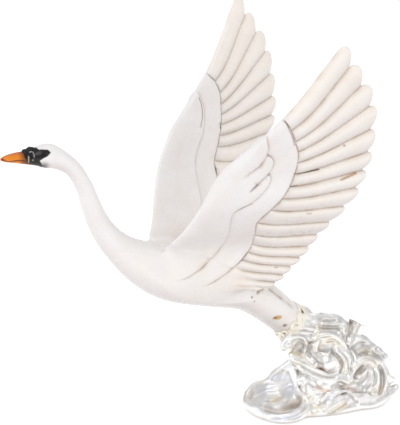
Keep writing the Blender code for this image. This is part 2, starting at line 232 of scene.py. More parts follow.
def band_columns(width, start, inner, stop):
    """Place a band's columns: start and stop in steps from its edges, and shares between them."""
    first = start[-1] / width if start else 0 * width
    last = 1 - stop[0] / width
    columns = [place / width for place in start]
    columns += [first + (last - first) * share for share in inner]
    columns += [1 - place / width for place in stop]
    return np.stack(columns, axis=1)


def even_shares(count):
    """List evenly spaced shares strictly between 0 and 1."""
    return [(index + 1) / (count + 1) for index in range(count)]


def wing_rows():
    """List the feather numbers of the wing's rows."""
    rows = list(FIRST_SHARES)
    for feather in range(1, FEATHERS):
        rows += [feather + share for share in FEATHER_SHARES]
    return np.array(rows + [float(FEATHERS)])


def feather_profile(share):
    """Give a flight feather's height across itself: a round ridge, fullest above its middle."""
    return np.sin(math.pi * share ** RIDGE_LEAN) ** RIDGE_ROUND * (1 - RIDGE_TAPER * share)


def wing_face(side):
    """Lay out one face of the right wing.

    Returns its points in steps, rows by columns, and each point's zone and distance to a crease.
    """
    number = wing_rows()
    edges = [LEADING_EDGE(number), FIRST_COVERT_EDGE[side](number),
             SECOND_COVERT_EDGE[side](number), feather_end(number)]
    widths = [np.linalg.norm(after - before, axis=1) for before, after in zip(edges, edges[1:])]
    shares = [
        band_columns(widths[0], (), NOSE_SHARES, FIRST_LIP_PLACES),
        band_columns(widths[1], SECOND_START, even_shares(SECOND_COLUMNS), SECOND_LIP_PLACES),
        band_columns(widths[2], FEATHER_START, even_shares(FEATHER_COLUMNS), TIP_PLACES)]
    across = number % 1
    rim = rounded(number / RIM_FEATHERS) * rounded((FEATHERS - number) / RIM_FEATHERS)
    places, halves, zones, gaps = [], [], [], []
    low = SECOND_COVERT_HALF - COVERT_STEP
    for band, share in enumerate(shares):
        place = edges[band][:, None] * (1 - share[..., None]) + edges[band + 1][:, None] * share[..., None]
        to_edge = (1 - share) * widths[band][:, None]
        from_edge = share * widths[band][:, None]
        if band == 0:
            half = COVERT_HALF * rounded(share / NOSE_SHARE)
            half = np.minimum(half, low + (COVERT_HALF - low) * rounded(to_edge / FIRST_LIP))
            gap = to_edge
        elif band == 1:
            half = SECOND_COVERT_HALF - COVERT_STEP * (1 - share) ** 2
            half = FEATHER_HALF + (half - FEATHER_HALF) * rounded(to_edge / SECOND_LIP)
            gap = np.minimum(to_edge, from_edge)
        else:
            along = edges[3] - edges[2]
            square = np.stack((along[:, 1], -along[:, 0]), axis=1) / widths[2][:, None]
            bow = CREASE_BOW(number) * 4 * share * (1 - share) * (1 - share)
            place = place + square[:, None] * bow[..., None]
            feather_width = feather_widths(side, number, share)
            relief = np.clip(feather_width * RELIEF_SHARE, RELIEF_LEAST, RELIEF_MOST)
            half = FEATHER_HALF * CREASE_SHARE + relief * feather_profile(across)[:, None]
            half *= rounded((1 - share) / TIP_SHARE)
            gap = np.minimum(from_edge, np.minimum(across, 1 - across)[:, None] * feather_width)
        if band != 2:
            half = np.maximum(half - CREASE_DEPTH * bell(gap, CREASE_WIDTH), 0.0)
        places.append(place)
        halves.append(half * rim[:, None])
        zones.append(band + share)
        gaps.append(gap + FAR_FROM_CREASE * (number == 0)[:, None])
    place = np.concatenate(places, axis=1)
    half = np.concatenate(halves, axis=1)
    middle = WING_SLANT * place[..., 0] + WING_SPREAD(place[..., 1])[..., 0]
    points = np.stack((place[..., 0], middle + side * half, place[..., 1]), axis=-1)
    return points, np.concatenate(zones, axis=1), np.concatenate(gaps, axis=1)


def feather_widths(side, number, share):
    """Give the width of the feather that each point of a face is on."""
    first = np.clip(np.floor(number), 0, FEATHERS - 1)
    roots = SECOND_COVERT_EDGE[side](first), SECOND_COVERT_EDGE[side](first + 1)
    ends = FEATHER_ENDS(first), FEATHER_ENDS(first + 1)
    root = np.linalg.norm(roots[1] - roots[0], axis=1)
    end = np.linalg.norm(ends[1] - ends[0], axis=1)
    return root[:, None] * (1 - share) + end[:, None] * share


def grid_faces(index):
    """List the quads of a grid of point numbers."""
    return np.stack((index[:-1, :-1], index[:-1, 1:], index[1:, 1:], index[1:, :-1]),
                    axis=-1).reshape(-1, 4)


def add_object(name, data):
    """Make an object and put it in the scene."""
    made = bpy.data.objects.new(name, data)
    bpy.context.scene.collection.objects.link(made)
    return made


def mesh_object(name, points, faces):
    """Make an object from points in steps, with its faces pointing out."""
    mesh = bpy.data.meshes.new(name)
    mesh.from_pydata([tuple(point) for point in points * STEP], [], [tuple(face) for face in faces])
    work = bmesh.new()
    work.from_mesh(mesh)
    bmesh.ops.remove_doubles(work, verts=work.verts, dist=1e-7)
    bmesh.ops.recalc_face_normals(work, faces=work.faces)
    bmesh.ops.triangulate(work, faces=work.faces)
    work.to_mesh(mesh)
    work.free()
    return add_object(name, mesh)


def wing_object(name, across):
    """Make a wing on one side of the body: its two faces share their rim."""
    outer, zones, gaps = wing_face(OUTER)
    inner, inner_zones, inner_gaps = wing_face(INNER)
    rows, columns = zones.shape
    index = np.arange(rows * columns).reshape(rows, columns)
    under = index + rows * columns
    under[0], under[-1], under[:, 0], under[:, -1] = index[0], index[-1], index[:, 0], index[:, -1]
    points = np.concatenate((outer.reshape(-1, 3), inner.reshape(-1, 3)))
    points[:, 1] *= across
    faces = np.concatenate((grid_faces(index), grid_faces(under)[:, ::-1]))
    used = np.unique(faces)
    renumber = np.zeros(len(points), int)
    renumber[used] = np.arange(len(used))
    made = mesh_object(name, points[used], renumber[faces])
    faced = np.repeat((OUTER, INNER), rows * columns)
    data = np.stack((np.concatenate((zones.ravel(), inner_zones.ravel())),
                     np.concatenate((gaps.ravel(), inner_gaps.ravel())), faced), axis=1)
    return made, points[used], data[used]


def body_places():
    """Space the body's rings along its spine, closer at the head."""
    route = through([(index, *ring) for index, ring in enumerate(SPINE)])
    fine = np.linspace(0, len(SPINE) - 1, SPINE_SAMPLES)
    line = route(fine)[:, :2]
    lengths = np.linalg.norm(np.diff(line, axis=0), axis=1)
    count = np.concatenate(([0], np.cumsum(lengths / RING_SPACING(line[1:, 0])[:, 0])))
    return route, np.interp(np.arange(0, count[-1]), count, fine)


def body_object():
    """Loft the head, neck, body and tail along the spine."""
    route, places = body_places()
    places = np.append(places, len(SPINE) - 1.0)
    ring = route(places)
    ahead = (route(np.minimum(places + SPINE_NUDGE, len(SPINE) - 1))
             - route(np.maximum(places - SPINE_NUDGE, 0)))
    up = np.stack((-ahead[:, 1], ahead[:, 0]), axis=1)
    up /= np.linalg.norm(up, axis=1, keepdims=True)
    turn = 2 * math.pi * np.arange(BODY_SIDES) / BODY_SIDES
    rise = np.sin(turn)[None] * ring[:, 2, None]
    points = np.stack((
        ring[:, 0, None] + up[:, 0, None] * rise,
        np.cos(turn)[None] * ring[:, 3, None],
        ring[:, 1, None] + up[:, 1, None] * rise), axis=-1)
    count = len(places)
    index = np.arange(count * BODY_SIDES).reshape(count, BODY_SIDES)
    index = np.concatenate((index, index[:, :1]), axis=1)
    faces = [tuple(face) for face in grid_faces(index)]
    centres = np.stack((ring[[0, -1], 0], np.zeros(2), ring[[0, -1], 1]), axis=1)
    for end, centre in ((0, count * BODY_SIDES), (-1, count * BODY_SIDES + 1)):
        faces += [(index[end, side], index[end, side + 1], centre) for side in range(BODY_SIDES)]
    return mesh_object("body", np.concatenate((points.reshape(-1, 3), centres)), faces)


def union_of(name, first, others):
    """Join closed objects into one solid, and drop the objects that it was made from."""
    for other in others:
        change = first.modifiers.new(other.name, "BOOLEAN")
        change.operation = "UNION"
        change.solver = "EXACT"
        change.object = other
    graph = bpy.context.evaluated_depsgraph_get()
    mesh = bpy.data.meshes.new_from_object(first.evaluated_get(graph))
    for item in [first, *others]:
        bpy.data.objects.remove(item, do_unlink=True)
    work = bmesh.new()
    work.from_mesh(mesh)
    bmesh.ops.triangulate(work, faces=work.faces)
    work.to_mesh(mesh)
    work.free()
    return add_object(name, mesh)


def points_of(mesh):
    """Read a mesh's points, in metres."""
    points = np.empty(len(mesh.vertices) * 3)
    mesh.vertices.foreach_get("co", points)
    return points.reshape(-1, 3)


def set_points(mesh, points):
    """Move a mesh's points to places in metres."""
    mesh.vertices.foreach_set("co", points.ravel())
    mesh.update()


# The share of the way to the middle of its neighbours that a point moves in a round of evening out
RELAX_SHARE = 0.6


def relax(mesh, weight, rounds):
    """Even out a mesh where weight is over 0."""
    points = points_of(mesh)
    ends = np.empty(len(mesh.edges) * 2, int)
    mesh.edges.foreach_get("vertices", ends)
    first, second = ends.reshape(-1, 2).T
    count = np.bincount(first, minlength=len(points)) + np.bincount(second, minlength=len(points))
    for _ in range(rounds):
        total = np.stack([
            np.bincount(first, points[second, axis], len(points))
            + np.bincount(second, points[first, axis], len(points)) for axis in range(3)], axis=1)
        points += (total / count[:, None] - points) * weight[:, None] * RELAX_SHARE
    set_points(mesh, points)


def tree_of(item):
    """Make a search tree of an object's surface."""
    work = bmesh.new()
    work.from_mesh(item.data)
    tree = BVHTree.FromBMesh(work)
    work.free()
    return tree


# How far from a join of wing and body the surface is softened, on the flank and on the back
FLANK_REACH, BACK_REACH = 17.0, 8.0
# How far out the surface faces where it is all flank, and how soon a join is softened in full
FLANK_FACING, JOIN_STRENGTH = 0.4, 1.4
JOIN_ROUNDS = 220


def normals_of(mesh):
    """Read a mesh's point normals."""
    normals = np.empty(len(mesh.vertices) * 3)
    mesh.vertices.foreach_get("normal", normals)
    return normals.reshape(-1, 3)


def soften_joins(item, body_tree, wing_trees):
    """Let the wings flow into the body where they meet."""
    points = points_of(item.data)
    outward = normals_of(item.data)[:, 1] * np.sign(points[:, 1])
    reaches = (BACK_REACH + (FLANK_REACH - BACK_REACH) * smooth_step(outward / FLANK_FACING)) * STEP
    weight = np.zeros(len(points))
    for index, (point, reach) in enumerate(zip(points, reaches)):
        spot = Vector(point)
        body = body_tree.find_nearest(spot, reach)[3]
        if body is None:
            continue
        wings = [tree.find_nearest(spot, reach)[3] for tree in wing_trees]
        wing = min((near for near in wings if near is not None), default=reach)
        weight[index] = 1 - max(body, wing) / reach
    relax(item.data, smooth_step(weight * JOIN_STRENGTH), JOIN_ROUNDS)


# What each point of the swan keeps: its zone, its distance to a crease, and the face it is on
LAYERS = ("zone", "gap", "face")
# How near a wing's own points a point of the swan counts as wing, and the distance to a crease where
# there is none
WING_NEAR, FAR_FROM_CREASE = 0.9, 9.0
# Further off than anything on the figurine
FAR_AWAY = 1e3


def keep_layer(mesh, name, values):
    """Keep a value with each point of a mesh."""
    mesh.attributes.new(name, "FLOAT", "POINT").data.foreach_set("value", values)


def take_data(item, points, data):
    """Give each point of an object the zone, crease distance and face of the nearest wing point."""
    tree = kdtree.KDTree(len(points))
    for index, point in enumerate(points * STEP):
        tree.insert(point, index)
    tree.balance()
    found = np.tile((0, FAR_FROM_CREASE, 0), (len(item.data.vertices), 1)).astype(float)
    for index, corner in enumerate(item.data.vertices):
        _, nearest, away = tree.find(corner.co)
        if away < WING_NEAR * STEP:
            found[index] = data[nearest]
    for column, name in enumerate(LAYERS):
        keep_layer(item.data, name, found[:, column])


def layer_of(mesh, name):
    """Read a value that each point of a mesh keeps."""
    values = np.empty(len(mesh.vertices))
    mesh.attributes[name].data.foreach_get("value", values)
    return values


def line_distance(places, line):
    """Give each place's distance to a line, how far along it that is as a share, and on which side."""
    line = np.array(line, float)
    lengths = np.linalg.norm(np.diff(line, axis=0), axis=1)
    before = np.concatenate(([0], np.cumsum(lengths)))
    nearest = np.full(len(places), FAR_AWAY)
    share, side = np.zeros(len(places)), np.zeros(len(places))
    for index, (start, end) in enumerate(zip(line, line[1:])):
        along = (end - start) / lengths[index]
        travelled = np.clip((places - start) @ along, 0, lengths[index])
        away = np.linalg.norm(places - start - travelled[:, None] * along, axis=1)
        closer = away < nearest
        nearest[closer] = away[closer]
        share[closer] = (before[index] + travelled[closer]) / before[-1]
        rest = places[closer] - start
        side[closer] = np.sign(along[0] * rest[:, 1] - along[1] * rest[:, 0])
    return nearest, share, side


def curved(line, joins):
    """Join the places of a line or a roll smoothly, by short straight runs."""
    route = through([(index, *place) for index, place in enumerate(line)])
    return route(np.linspace(0, len(line) - 1, (len(line) - 1) * joins + 1))


def inside_outline(places, outline):
    """Give how deep each place is inside an outline along X and Z; outside it is under 0."""
    outline = np.array(outline, float)
    closed = np.concatenate((outline, outline[:1]))
    away = line_distance(places, closed)[0]
    inside = np.zeros(len(places), bool)
    for start, end in zip(closed, closed[1:]):
        spans = (start[1] > places[:, 1]) != (end[1] > places[:, 1])
        rise = end[1] - start[1] if end[1] != start[1] else 1e-9
        crossing = start[0] + (places[:, 1] - start[1]) * (end[0] - start[0]) / rise
        inside ^= spans & (places[:, 0] < crossing)
    return np.where(inside, away, -away)


# Lines cut in the swan, along X and Z: each one's depth, width, the height of the lip in front of
# it, and the shares of it that fade at its ends
OUTER_LINES = [
    # the grooves between the lobes of the first coverts
    ([(-91.3, 313), (-96, 304), (-101, 298), (-115, 287)], 1.4, 0.75, 0, 0.01, 0.5),
    ([(-87.6, 292.5), (-92, 288), (-96, 284), (-107, 273)], 1.5, 0.75, 0, 0.01, 0.4),
    # the coverts' edges where they run out on the flank
    ([(-116, 214), (-119.5, 206), (-124, 198.5), (-131, 189.5), (-138, 182.5), (-149, 176.5),
      (-157, 174.5), (-167, 173.7)], 1.0, 0.9, 1.2, 0.25, 0.35),
    ([(-89.5, 203), (-95, 192), (-101, 184.3), (-107.5, 177.5), (-115, 171.3), (-122, 167),
      (-129, 163.8), (-139, 162)], 0.9, 0.9, 1.1, 0.25, 0.35)]
BODY_LINES = [
    # the bill's mouth
    ([(-327.4, 319.3), (-326.6, 319.1), (-323.3, 317.1), (-320.6, 316.2), (-315.2, 316.6), (-309.5, 316.3),
      (-305.8, 315.2), (-302.5, 314.1)], 0.9, 0.55, 0, 0.02, 0.15),
    # the edge of the tail's upper feather, and the fold where the tail leaves the rump
    ([(-56, 141.5), (-48.5, 135), (-39.5, 126.5), (-30, 118), (-22, 109)], 1.5, 0.9, 1.0, 0.1, 0.15),
    ([(-70.5, 139), (-69, 141.8), (-65.5, 143.4), (-60.5, 143)], 1.3, 0.9, 0.8, 0.2, 0.3)]
# How far a lip's swell reaches from its line
LIP_REACH = 7.0
# The soft shoulders of a cut: their share of its depth, and how many times as wide they are
SHOULDER_DEPTH, SHOULDER_WIDTH = 0.3, 3
# How far out the surface has to face for a line to be cut in it
CUT_FACING = 0.1
# Half the width of the back between the wings, where the wings' lines aren't cut
BACK_HALF = 13.0
# Pits of the near side: a place along X and Z, radius and depth
PITS = [(-77, 138, 0.9, 1.0), (-74.2, 132.6, 0.7, 0.8), (-34.6, 93.8, 1.8, 2.2)]
# How far from a cut or painted line the surface is made of small faces, and their longest edge
FINE_REACH, FINE_EDGE = 0.6, 0.8


def split_once(points, faces, layers, distance):
    """Halve the long edges of triangles that run near a cut or painted line."""
    sides = np.stack((faces, np.roll(faces, -1, axis=1)), axis=-1)
    pairs = np.sort(sides.reshape(-1, 2), axis=1)
    edges, place = np.unique(pairs, axis=0, return_inverse=True)
    place = place.reshape(-1, 3)
    length = np.linalg.norm(points[edges[:, 0]] - points[edges[:, 1]], axis=1) / STEP
    chosen = length > FINE_EDGE
    middles = points[edges[chosen]].mean(axis=1)
    chosen[chosen] = distance(middles / STEP) < FINE_REACH + length[chosen] / 2
    halves = np.full(len(edges), -1)
    halves[chosen] = len(points) + np.arange(chosen.sum())
    points = np.concatenate((points, points[edges[chosen]].mean(axis=1)))
    layers = {name: np.concatenate((values, values[edges[chosen]].mean(axis=1)))
              for name, values in layers.items()}
    halves = halves[place]
    count = (halves >= 0).sum(axis=1)
    made = [faces[count == 0]]
    for amount, wanted in ((1, halves >= 0), (2, halves < 0)):
        these = count == amount
        turn = (np.argmax(wanted[these], axis=1) + (amount == 2)) % 3
        order = (turn[:, None] + np.arange(3)) % 3
        one, two, three = np.take_along_axis(faces[these], order, axis=1).T
        first, second, _ = np.take_along_axis(halves[these], order, axis=1).T
        if amount == 1:
            made += [np.stack((one, first, three), axis=1), np.stack((first, two, three), axis=1)]
        else:
            made += [np.stack((first, two, second), axis=1), np.stack((one, first, second), axis=1),
                     np.stack((one, second, three), axis=1)]
    (one, two, three), (first, second, third) = faces[count == 3].T, halves[count == 3].T
    made += [np.stack(corners, axis=1) for corners in (
        (one, first, third), (first, two, second), (third, second, three), (first, second, third))]
    return points, np.concatenate(made), layers


def refine(item, distance, rounds):
    """Make an object's triangles small near its cut and painted lines."""
    old = item.data
    faces = np.empty(len(old.polygons) * 3, int)
    old.polygons.foreach_get("vertices", faces)
    points, faces = points_of(old), faces.reshape(-1, 3)
    layers = {name: layer_of(old, name) for name in LAYERS}
    for _ in range(rounds):
        points, faces, layers = split_once(points, faces, layers, distance)
    mesh = bpy.data.meshes.new(item.name)
    mesh.from_pydata(points.tolist(), [], faces.tolist())
    for name, values in layers.items():
        keep_layer(mesh, name, values)
    item.data = mesh


def mark_distance(points):
    """Give each point's distance to the nearest cut line, painted line or outline of the mask."""
    places = points[:, [0, 2]]
    nearest = np.full(len(points), FAR_AWAY)
    front = places[:, 0] < HEAD_END
    for near, lines in ((front, [line for line, *_ in BODY_LINES[:1]] + [MASK + MASK[:1]]),
                        (~front, [line for line, *_ in BODY_LINES[1:] + OUTER_LINES])):
        for line in lines:
            nearest[near] = np.minimum(nearest[near], line_distance(places[near], line)[0])
    for line, _, across, *_ in MARKS:
        near = ~front & (points[:, 1] * across > 0)
        nearest[near] = np.minimum(nearest[near], line_distance(places[near], line)[0])
    for x, z, radius, _ in PITS:
        nearest = np.minimum(nearest, away_from(places, (x, z)) - radius)
    return np.minimum(nearest, away_from(places, STAIN) - STAIN_RADII[0])


def engrave(item):
    """Cut the fine lines and pits into the swan's surface."""
    mesh = item.data
    points, normals = points_of(mesh), normals_of(mesh)
    places = points[:, [0, 2]] / STEP
    outward = normals[:, 1] * np.sign(points[:, 1]) > CUT_FACING
    aside = np.abs(points[:, 1]) > BACK_HALF * STEP
    depth, swell = np.zeros(len(points)), np.zeros(len(points))
    for lines, there in ((BODY_LINES, outward), (OUTER_LINES, outward & aside)):
        for line, deep, width, lip, start, stop in lines:
            away, share, side = line_distance(places, curved(line, LINE_JOINS))
            fade = smooth_step(share / start) * smooth_step((1 - share) / stop) * there
            shoulder = SHOULDER_DEPTH * deep * bell(away, SHOULDER_WIDTH * width)
            depth = np.maximum(depth, (deep * bell(away, width) + shoulder) * fade)
            swell = np.maximum(swell, lip * bell(away, LIP_REACH) * fade * (side < 0))
    for x, z, radius, deep in PITS:
        depth = np.maximum(depth, deep * bell(away_from(places, (x, z)), radius) * (points[:, 1] < 0))
    set_points(mesh, points + normals * (swell - depth)[:, None] * STEP)
    keep_layer(mesh, "cut", np.clip(depth, 0, 1))


# Slow unevenness of the casting: its height and its spacing
CASTING_HEIGHT, CASTING_SPACING = 0.22, 17.0


def roughen(item):
    """Give the swan's surface the slow unevenness of a casting."""
    mesh = item.data
    points, normals = points_of(mesh), normals_of(mesh)
    rise = np.array([noise.noise(Vector(point) / (CASTING_SPACING * STEP)) for point in points])
    set_points(mesh, points + normals * rise[:, None] * CASTING_HEIGHT * STEP)


# The lumps of the knob: places and radii, how uneven they are, and how close their unevenness is
KNOB_LUMPS = [(-303.8, 0, 322.6, 3.3, 3.4, 2.9), (-299.6, -1.2, 324.3, 3.6, 3.2, 3.2),
              (-296.6, 0.8, 322.8, 3.3, 3.6, 3.4), (-300, 0, 321.5, 4.6, 4.4, 3.6)]
KNOB_UNEVEN, KNOB_GRAIN = 0.08, 1.9
# Rounds of splitting that a ball's triangles are made by
BALL_ROUNDS = 3
# The right eye: its place and radii
EYE = (-284.9, 8.3, 320.7, 1.9, 1.1, 1.5)
# The ring round each nostril: middle, radii along X and Z, tube, the slopes of its plane, and its sides
NOSTRIL, NOSTRIL_RADII, NOSTRIL_TUBE = (-299.4, 5.3, 319.9), (2.6, 3.5), 0.85
NOSTRIL_SLOPES = (0.22, -0.33)
NOSTRIL_SIDES, TUBE_SIDES = 48, 12


def lumpy_ball(name, lump, uneven, seed):
    """Make a ball with an uneven surface."""
    work = bmesh.new()
    bmesh.ops.create_icosphere(work, subdivisions=BALL_ROUNDS, radius=1)
    for corner in work.verts:
        swell = 1 + uneven * noise.noise(corner.co * KNOB_GRAIN + Vector((seed, 0, 0)))
        corner.co = Vector([(lump[axis] + corner.co[axis] * lump[3 + axis] * swell) * STEP
                            for axis in range(3)])
    mesh = bpy.data.meshes.new(name)
    work.to_mesh(mesh)
    work.free()
    return add_object(name, mesh)


def nostril_ring(across):
    """Make the raised ring round a nostril."""
    around, small = np.meshgrid(*(np.linspace(0, 2 * math.pi, sides + 1)[:-1]
                                  for sides in (NOSTRIL_SIDES, TUBE_SIDES)), indexing="ij")
    away_x = np.cos(around) * (NOSTRIL_RADII[0] + NOSTRIL_TUBE * np.cos(small))
    away_z = np.sin(around) * (NOSTRIL_RADII[1] + NOSTRIL_TUBE * np.cos(small))
    away_y = NOSTRIL[1] + NOSTRIL_SLOPES[0] * away_x + NOSTRIL_SLOPES[1] * away_z
    away_y += NOSTRIL_TUBE * np.sin(small)
    points = np.stack((NOSTRIL[0] + away_x, across * away_y, NOSTRIL[2] + away_z), axis=-1)
    index = np.arange(NOSTRIL_SIDES * TUBE_SIDES).reshape(NOSTRIL_SIDES, TUBE_SIDES)
    index = np.concatenate((index, index[:1]))
    index = np.concatenate((index, index[:, :1]), axis=1)
    return mesh_object("nostril", points.reshape(-1, 3), grid_faces(index))


def head_pieces():
    """Make the knob's lumps, the eyes and the nostril rings."""
    pieces = [lumpy_ball("knob", lump, KNOB_UNEVEN, seed) for seed, lump in enumerate(KNOB_LUMPS)]
    for across in (1, -1):
        pieces.append(lumpy_ball("eye", (EYE[0], across * EYE[1], *EYE[2:]), 0, 0))
        pieces.append(nostril_ring(across))
    return pieces


def tone(red, green, blue):
    """Turn a colour as a screen shows it into the linear values that a shader takes."""
    return (np.array((red, green, blue)) / 255) ** 2.2


# The swan's paint: its tones, and where each tint comes in, as a start and a length
WHITE, WARM_WHITE, PAINTED_SHADE_WHITE = tone(237, 234, 232), tone(243, 236, 227), tone(200, 193, 190)
CREASE_SHADE_TAN, CREASE_BROWN_AND_SHADE, DEEP_BROWN = tone(214, 197, 180), tone(172, 142, 114), tone(84, 50, 30)
BILL_ORANGE, BILL_DEEP, BILL_ROOT = tone(230, 134, 32), tone(190, 88, 24), tone(70, 38, 34)
MASK_BLACK, FOAM_CREAM = tone(7, 7, 11), tone(246, 241, 228)
# Warm white by zone, a warm painted shade low down by height, painted shade by how far up the surface faces,
# and streaks by noise
WARM_ZONE, WARM_SHADE_HEIGHT, PAINTED_SHADE_FACING, STREAKS = (1.9, 0.3), (260, -90), (0.25, -1.1), (0.3, 0.5)
# Creases darkened, partly painted shade and partly brown paint: stronger on the flight feathers and high up,
# and none low down in front
FEATHER_ZONE, HIGH_CREASES, LOW_CREASES, REAR_CREASES = (1.9, 0.2), (190, 90), (160, 30), (-105, 12)
WIDE_CREASE, FINE_CREASE = 2.4, 0.55
# The bill's darker edges below and above by height, and its tip and root by place along X
BILL_BELOW, BILL_ABOVE, BILL_TIP_SHADE, BILL_ROOT_SHADE = (314.5, -5), (320.5, 2.5), (-323, -4), (-313, 7)
# The mask's ragged edge: how far it wanders, and how soft it is
MASK_RAGGED, MASK_SOFT = 0.5, 0.9
# The outline of the black mask along X and Z, and the sprayed black under the chin: its middle and reach
MASK = [(-294.5, 329), (-292.8, 325.2), (-291.5, 324.4), (-288, 324.4), (-283.7, 323.9), (-281.4, 321.2),
        (-285.4, 318.2), (-288.5, 316.9), (-291, 315.6), (-292.2, 314.4), (-291, 312), (-289, 308),
        (-288, 303), (-297.8, 303), (-298.5, 308.9), (-299.8, 311), (-304, 312.8), (-304.4, 315),
        (-305.6, 317.8), (-306.2, 320.8), (-308, 325), (-303, 330)]
CHIN = (-289, 307)
CHIN_REACH = 7.5
# Painted highlights and pale paint round the nostril: a line, width, colour and strength
NOSTRIL_HIGHLIGHTS_AND_PAINT = [
    ([(-302.2, 319.5), (-302.4, 316.5), (-302.3, 313.5)], 0.45, tone(205, 190, 165), 0.8),
    ([(-299, 316.2), (-298.3, 315.4)], 0.5, tone(220, 190, 130), 0.7),
    ([(-300.6, 323.2), (-298.6, 323.4), (-297.2, 321.6), (-297.2, 318.6)], 0.4, tone(190, 188, 185), 0.75)]
# Everything in front of these places along X is the head, and the bill
HEAD_END, BILL_END = -262, -297
# Marks, the dark lines at the covert edges and creases partly painted shade and partly brown paint: a line
# along X and Z, the face and side that it is on, its width, colour and strength
NEAR, FAR = -1, 1
MARKS = [
    ([(-79.5, 347), (-77, 344), (-74, 338), (-70.8, 331.5), (-67, 321)], OUTER, NEAR, 0.42, DEEP_BROWN, 0.7),
    ([(-64.5, 290.6), (-57.4, 290.4), (-50.9, 291), (-40, 293)], OUTER, NEAR, 0.45, DEEP_BROWN, 0.85),
    ([(-66, 277), (-60, 277.5)], OUTER, NEAR, 0.6, DEEP_BROWN, 0.6),
    ([(-118, 253.5), (-110, 257), (-102, 261.5)], OUTER, NEAR, 0.7, DEEP_BROWN, 0.55),
    ([(-105, 275), (-98, 281.5)], OUTER, NEAR, 0.42, DEEP_BROWN, 0.7),
    ([(-18.3, 281), (-13.5, 282.8), (-4, 286.5)], OUTER, NEAR, 1.0, tone(170, 120, 50), 0.8),
    ([(-19.7, 317.5), (-19.2, 317.7)], OUTER, NEAR, 0.8, DEEP_BROWN, 0.7),
    ([(-46, 244.9), (-42, 244.9)], OUTER, NEAR, 0.6, tone(140, 110, 80), 0.6),
    ([(-62.7, 177.3), (-60, 177.5)], OUTER, NEAR, 0.7, tone(150, 120, 95), 0.6),
    ([(-92.5, 327), (-90, 318), (-90, 308), (-93, 297)], INNER, FAR, 0.6, tone(140, 118, 100), 0.85),
    ([(-67.1, 295), (-67.1, 290)], INNER, FAR, 0.9, tone(120, 105, 95), 0.85),
    ([(-77.5, 244), (-77, 250)], INNER, FAR, 0.8, tone(150, 135, 120), 0.6)]
# The oval stain on the tail: its middle and radii, and the darker patch's middle in shares of them
STAIN, STAIN_RADII = (-45, 106.7), (5.4, 3.0)
STAIN_DARKEST = (-0.45, 0.1)
# The soft edges of the stain and of its darker patch, each a start and a length in shares of the radii
STAIN_EDGE, STAIN_DARK_EDGE = (1.15, -0.45), (0.62, -0.4)
STAIN_TONE, STAIN_DARK = tone(198, 160, 112), tone(116, 82, 46)


def mix(colour, other, share):
    """Move colours towards another by a share of their own."""
    return colour + (np.asarray(other) - colour) * np.clip(share, 0, 1)[:, None]


def uneven(points, spacing, seed):
    """Give smooth noise at places in steps, from 0 to 1."""
    shift = Vector((seed * 7.3, seed * 3.1, 0))
    return np.array([0.5 + 0.5 * noise.noise(Vector(point) / spacing + shift) for point in points])


def paint_swan(item):
    """Work out the swan's colours at its points."""
    mesh = item.data
    points = points_of(mesh) / STEP
    places = points[:, [0, 2]]
    zone, gap, face, cut = (layer_of(mesh, name) for name in ("zone", "gap", "face", "cut"))
    colour = np.tile(WHITE, (len(points), 1))
    patchy = uneven(points, 22, 1)
    colour = mix(colour, WARM_WHITE, ramp(zone, *WARM_ZONE) * (0.55 + 0.6 * patchy))
    # Painted shade: a warm tint low down, and darker where the surface faces down
    colour = mix(colour, WARM_WHITE, ramp(places[:, 1], *WARM_SHADE_HEIGHT) * 0.8 * patchy)
    colour = mix(colour, PAINTED_SHADE_WHITE, ramp(normals_of(mesh)[:, 2], *PAINTED_SHADE_FACING) * 0.95)
    streaks = ramp(uneven(points, 11, 2), *STREAKS)
    feathered = 0.45 + 0.55 * ramp(zone, *FEATHER_ZONE)
    feathered *= 0.6 + 0.4 * ramp(places[:, 1], *HIGH_CREASES)
    feathered *= 1 - 0.6 * (face < 0) * (points[:, 1] > 0)
    behind = (zone >= 2.1) * ramp(places[:, 0], *REAR_CREASES)
    feathered *= smooth_step((places[:, 1] - LOW_CREASES[0]) / LOW_CREASES[1] + behind)
    # Painted shade along the creases, broad and tan; then brown at their cores and in the cut lines, partly
    # brown paint and partly painted shade
    colour = mix(colour, CREASE_SHADE_TAN, bell(gap, WIDE_CREASE) * (0.3 + 0.3 * streaks) * feathered)
    colour = mix(colour, CREASE_BROWN_AND_SHADE, bell(gap, FINE_CREASE) * (0.06 + 0.34 * streaks) * feathered)
    colour = mix(colour, CREASE_BROWN_AND_SHADE, cut * (places[:, 0] > HEAD_END) * (0.1 + 0.45 * streaks))
    # Dark marks, partly painted shade in the crevices and partly brown paint
    for line, facing, across, width, tint, strength in MARKS:
        away = line_distance(places, curved(line, LINE_JOINS))[0]
        there = (face * facing > 0.3) & (points[:, 1] * across > 0)
        colour = mix(colour, tint, bell(away, width) * strength * there)
    colour = paint_tail(colour, places, points[:, 1] < 0)
    return paint_head(colour, points, places, cut)


def paint_tail(colour, places, near):
    """Add the oval stain and the dark pits of the near side."""
    offset = (places - STAIN) / STAIN_RADII
    away = np.linalg.norm(offset, axis=1)
    colour = mix(colour, STAIN_TONE, ramp(away, *STAIN_EDGE) * near)
    left = away_from(offset, STAIN_DARKEST)
    colour = mix(colour, STAIN_DARK, ramp(left, *STAIN_DARK_EDGE) * 0.8 * near)
    for x, z, radius, _ in PITS:
        colour = mix(colour, DEEP_BROWN, bell(away_from(places, (x, z)), radius) * 0.8 * near)
    return colour


